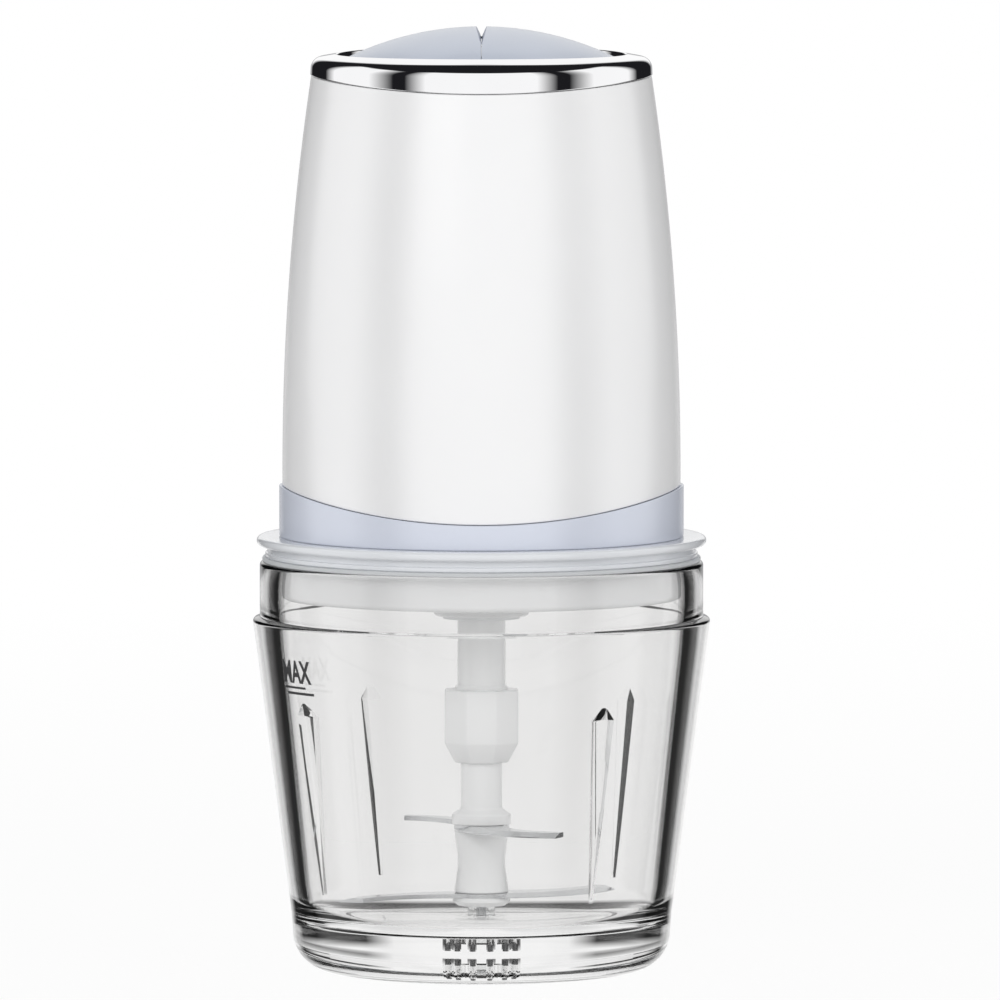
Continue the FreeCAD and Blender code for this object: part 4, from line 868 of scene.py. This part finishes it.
def makeButton(name, node, turn):
    b = button
    reach = [b["radius"] * step / 12 for step in range(13)]
    corners = [(radius, domeAt(radius), 0) for radius in reach[:-1]]
    corners += [(b["radius"], domeAt(b["radius"]), 0.9), (b["radius"], b["skirtLow"], 0)]
    skin = spinUp(outline(corners, False), 224)
    closeCut(skin, (b["split"], 0, 0), (-1, 0, 0))
    closeCut(skin, (0, 0, b["top"] - b["notchDepth"]), (-b["notchDepth"], 0, b["notchWidth"]))
    bmesh.ops.recalc_face_normals(skin, faces=skin.faces)
    creases = [edge for edge in skin.edges if len(edge.link_faces) == 2
               and edge.calc_face_angle() > radians(12) and min(vert.co.x for vert in edge.verts) < 6 * mm]
    bmesh.ops.bevel(skin, geom=creases, offset=b["inner"] * mm, segments=5, profile=0.5, affect="EDGES",
                    material=-1, clamp_overlap=True)
    bmesh.ops.recalc_face_normals(skin, faces=skin.faces)
    bmesh.ops.solidify(skin, geom=skin.faces[:], thickness=b["wall"] * mm)
    stem = cylinder(b["stem"], b["stemLow"], domeAt(b["stemAt"]) - 2, b["stemAt"], 40, 0.3)
    seat = cylinder(b["seat"], b["seatLow"], domeAt(b["stemAt"] + b["seat"]) - 1, b["stemAt"], 48)
    keep(spunRound(together([skin, stem, seat]), turn), name, node, "button_plastic", [node], 30)


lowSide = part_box("low_button")[1].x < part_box("high_button")[1].x
makeButton("buttonLow", "low_button", 180 if lowSide else 0)
makeButton("buttonHigh", "high_button", 0 if lowSide else 180)


def makeButtonSpring(name, node):  # a copy of the coil with a mesh of its own; on the real thing the coil shortens as its button goes down
    coil = bmesh.new()
    coil.from_mesh(frame["nodes"][node].data)
    made = keep(coil, name, "motor_unit", "spring_steel", [node], 40)
    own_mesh(made)


makeButtonSpring("springLow", "low_button_spring")
makeButtonSpring("springHigh", "high_button_spring")


# floor, light and camera

studio = dict(floor=4.0, floorDrop=0.4, aim=(0.005, 0.0, 0.127), away=4.0, above=0.303, lens=534.8, sky=0.62,
              paper=(0.86, 0.86, 0.86), paperWhite=0.93, backTone=(0.46, 0.46, 0.47),
              floorDark=(0.02, 0.02, 0.02), cardDark=(0.012, 0.012, 0.014))

# what polished faces see, by degrees round from the front or up: start, full, full, end of each dark card
cards = dict(side=(38, 53, 62, 82), floorBack=(108, 122, 154, 164), skyBack=(118, 130, 162, 170),
             above=(44, 48), grey=(150, 172), greyRise=(3.6, 2.4), greyAway=(0.9, 1.5))

# what rays bent by the glass see: the dark starts and is full at these angles, or distances in metres
bend = dict(off=(19, 27), rise=(9, 4), reach=(0.0440, 0.0475), away=(0.16, 0.36), across=(0.012, 0.034),
            rimInner=(0.050, 0.054), rimOuter=(0.074, 0.064), rimSlope=(0.3, 0.45), turnBack=-42)

white = (1.0, 1.0, 1.0)


def edge(paint, value, start, end):  # 0 before start, 1 past end
    return paint.between(value, start, end, 0, 1)


def card(paint, value, limits):  # 0 outside the outer two limits, 1 between the inner two
    start, full, fading, end = limits
    return edge(paint, value, start, full) * edge(paint, value, end, fading)


def offStraight(paint, x, y):  # degrees off the nearest of the four straight views, with its sign
    turn = paint.maths("ARCTAN2", y, x) / radians(90) + 4.5
    return (paint.maths("FRACT", turn) - 0.5) * 90


def fromFront(paint, x, y):  # degrees round from the front, either way
    return abs(paint.maths("ARCTAN2", x, y * -1.0)) * degrees(1)


def floorDark(paint, x, y, away, goX, goY, goZ):  # how dark a ray bent by the glass finds the floor
    across = (x * goY - y * goX) / paint.maths("SQRT", goX * goX + goY * goY)
    outward = offStraight(paint, goX, goY) * paint.maths("SIGN", across) * -1.0  # degrees off the middle
    outward = outward + 90 * (outward < bend["turnBack"])
    reach = edge(paint, abs(across), *bend["reach"])
    far = paint.maths("MAXIMUM", reach, edge(paint, away, *bend["away"]))
    dark = edge(paint, outward, *bend["off"]) * far * edge(paint, abs(across), *bend["across"])
    # painted shade: a dark ring on the floor just round the foot, seen only by steep rays bent through the
    # glass, darkens the heel
    rim = edge(paint, away, *bend["rimInner"]) * edge(paint, away, *bend["rimOuter"])
    return paint.maths("MAXIMUM", dark, rim * edge(paint, abs(goZ), *bend["rimSlope"]))


def floorTone(paint, away, goX, goY, glossy):  # what the paper looks like to the eye and to polished faces
    turn = fromFront(paint, goX, goY)
    grey = edge(paint, away, *cards["greyAway"]) * edge(paint, turn, *cards["grey"])
    tone = paint.blend(grey, white, studio["backTone"])
    strips = card(paint, turn, cards["side"]) + card(paint, turn, cards["floorBack"])
    tone = paint.blend(strips, tone, studio["floorDark"])
    return paint.blend(glossy, white, tone)


def makeFloor():
    bm = bmesh.new()
    bmesh.ops.create_grid(bm, x_segments=1, y_segments=1, size=studio["floor"])
    bmesh.ops.translate(bm, verts=bm.verts, vec=(0, 0, -studio["floorDrop"] * mm))
    floor = asObject(bm, "floor")
    material = bpy.data.materials.new("floorPaper")
    material.use_nodes = True
    paint = Paint(material.node_tree)
    eye, glossy, through = rayKinds(paint, "Camera", "Glossy", "Transmission")
    x, y = paint.axes()[:2]
    away = paint.maths("SQRT", x * x + y * y)
    split = paint.add("SeparateXYZ", Vector=paint.wire("NewGeometry", out="Incoming"))
    goX, goY, goZ = [Wire(paint, socket) * -1.0 for socket in split.outputs]
    dark = floorDark(paint, x, y, away, goX, goY, goZ)
    tone = floorTone(paint, away, goX, goY, glossy)
    paper = paint.wire("BsdfDiffuse", Color=studio["paper"])
    lit = paint.wire("Emission", Color=tone, Strength=1.0)
    window = paint.wire("Emission", Color=paint.blend(dark, white, studio["floorDark"]), Strength=1.0)
    share = paint.between(away, 0.3, 1.2, studio["paperWhite"], 1.0)
    result = paint.wire("MixShader", at0=paint.maths("MAXIMUM", eye, glossy) * share, at1=paper, at2=lit)
    clear = paint.maths("MAXIMUM", paint.between(away, 0.1, 0.5, 0.86, 1.0), dark)
    result = paint.wire("MixShader", at0=through * clear, at1=result, at2=window)
    paint.add("OutputMaterial", Surface=result)
    floor.data.materials.append(material)


def makeSky():
    world = scene.world or bpy.data.worlds.new("room")
    scene.world = world
    world.use_nodes = True
    paint = Paint(world.node_tree)
    eye, glossy, through = rayKinds(paint, "Camera", "Glossy", "Transmission")
    split = paint.add("SeparateXYZ", Vector=paint.wire("TexCoord", out="Generated"))
    x, y, z = [Wire(paint, socket) for socket in split.outputs]
    turn = fromFront(paint, x, y)
    rise = paint.maths("ARCSINE", z) * degrees(1)
    dark = card(paint, turn, cards["side"]) + card(paint, turn, cards["skyBack"])
    dark = paint.maths("MINIMUM", dark + edge(paint, rise, *cards["above"]), 1.0)
    grey = edge(paint, rise, *cards["greyRise"]) * edge(paint, turn, *cards["grey"])
    tone = paint.blend(dark, paint.blend(grey, white, studio["backTone"]), studio["cardDark"])
    aside = edge(paint, abs(offStraight(paint, x, y)), *bend["off"])
    bent = aside * edge(paint, rise, *bend["rise"]) * through
    room = paint.wire("Background", Color=white, Strength=studio["sky"])
    mirror = paint.wire("Background", Color=tone, Strength=1.0)
    backdrop = paint.wire("Background", Color=paint.blend(bent, white, studio["floorDark"]), Strength=1.0)
    result = paint.wire("MixShader", at0=glossy, at1=room, at2=mirror)
    result = paint.wire("MixShader", at0=paint.maths("MAXIMUM", eye, through), at1=result, at2=backdrop)
    paint.add("OutputWorld", Surface=result)


def makeLamp(name, place, aim, size, power):
    lamp = bpy.data.lights.new(name, "AREA")
    lamp.shape = "RECTANGLE"
    lamp.size, lamp.size_y = size
    lamp.energy = power
    made = bpy.data.objects.new(name, lamp)
    scene.collection.objects.link(made)
    made.location = place
    made.rotation_euler = (Vector(aim) - Vector(place)).to_track_quat("-Z", "Y").to_euler()
    made.visible_glossy = False
    made.visible_transmission = False


def makeCamera():
    lens = bpy.data.cameras.new("camera")
    lens.sensor_width = 36
    lens.lens = studio["lens"]
    lens.clip_end = 50
    camera = bpy.data.objects.new("camera", lens)
    scene.collection.objects.link(camera)
    aim = Vector(studio["aim"])
    camera.location = aim + Vector((0, -studio["away"], studio["above"]))
    camera.rotation_euler = (aim - camera.location).to_track_quat("-Z", "Y").to_euler()
    scene.camera = camera


makeFloor()
makeSky()
makeLamp("softFront", (-0.9, -1.9, 0.9), (0, 0, 0.14), (1.0, 1.0), 14)
makeLamp("softRight", (1.6, -1.1, 0.7), (0, 0, 0.14), (0.8, 1.0), 6)
makeCamera()
print("stage set")
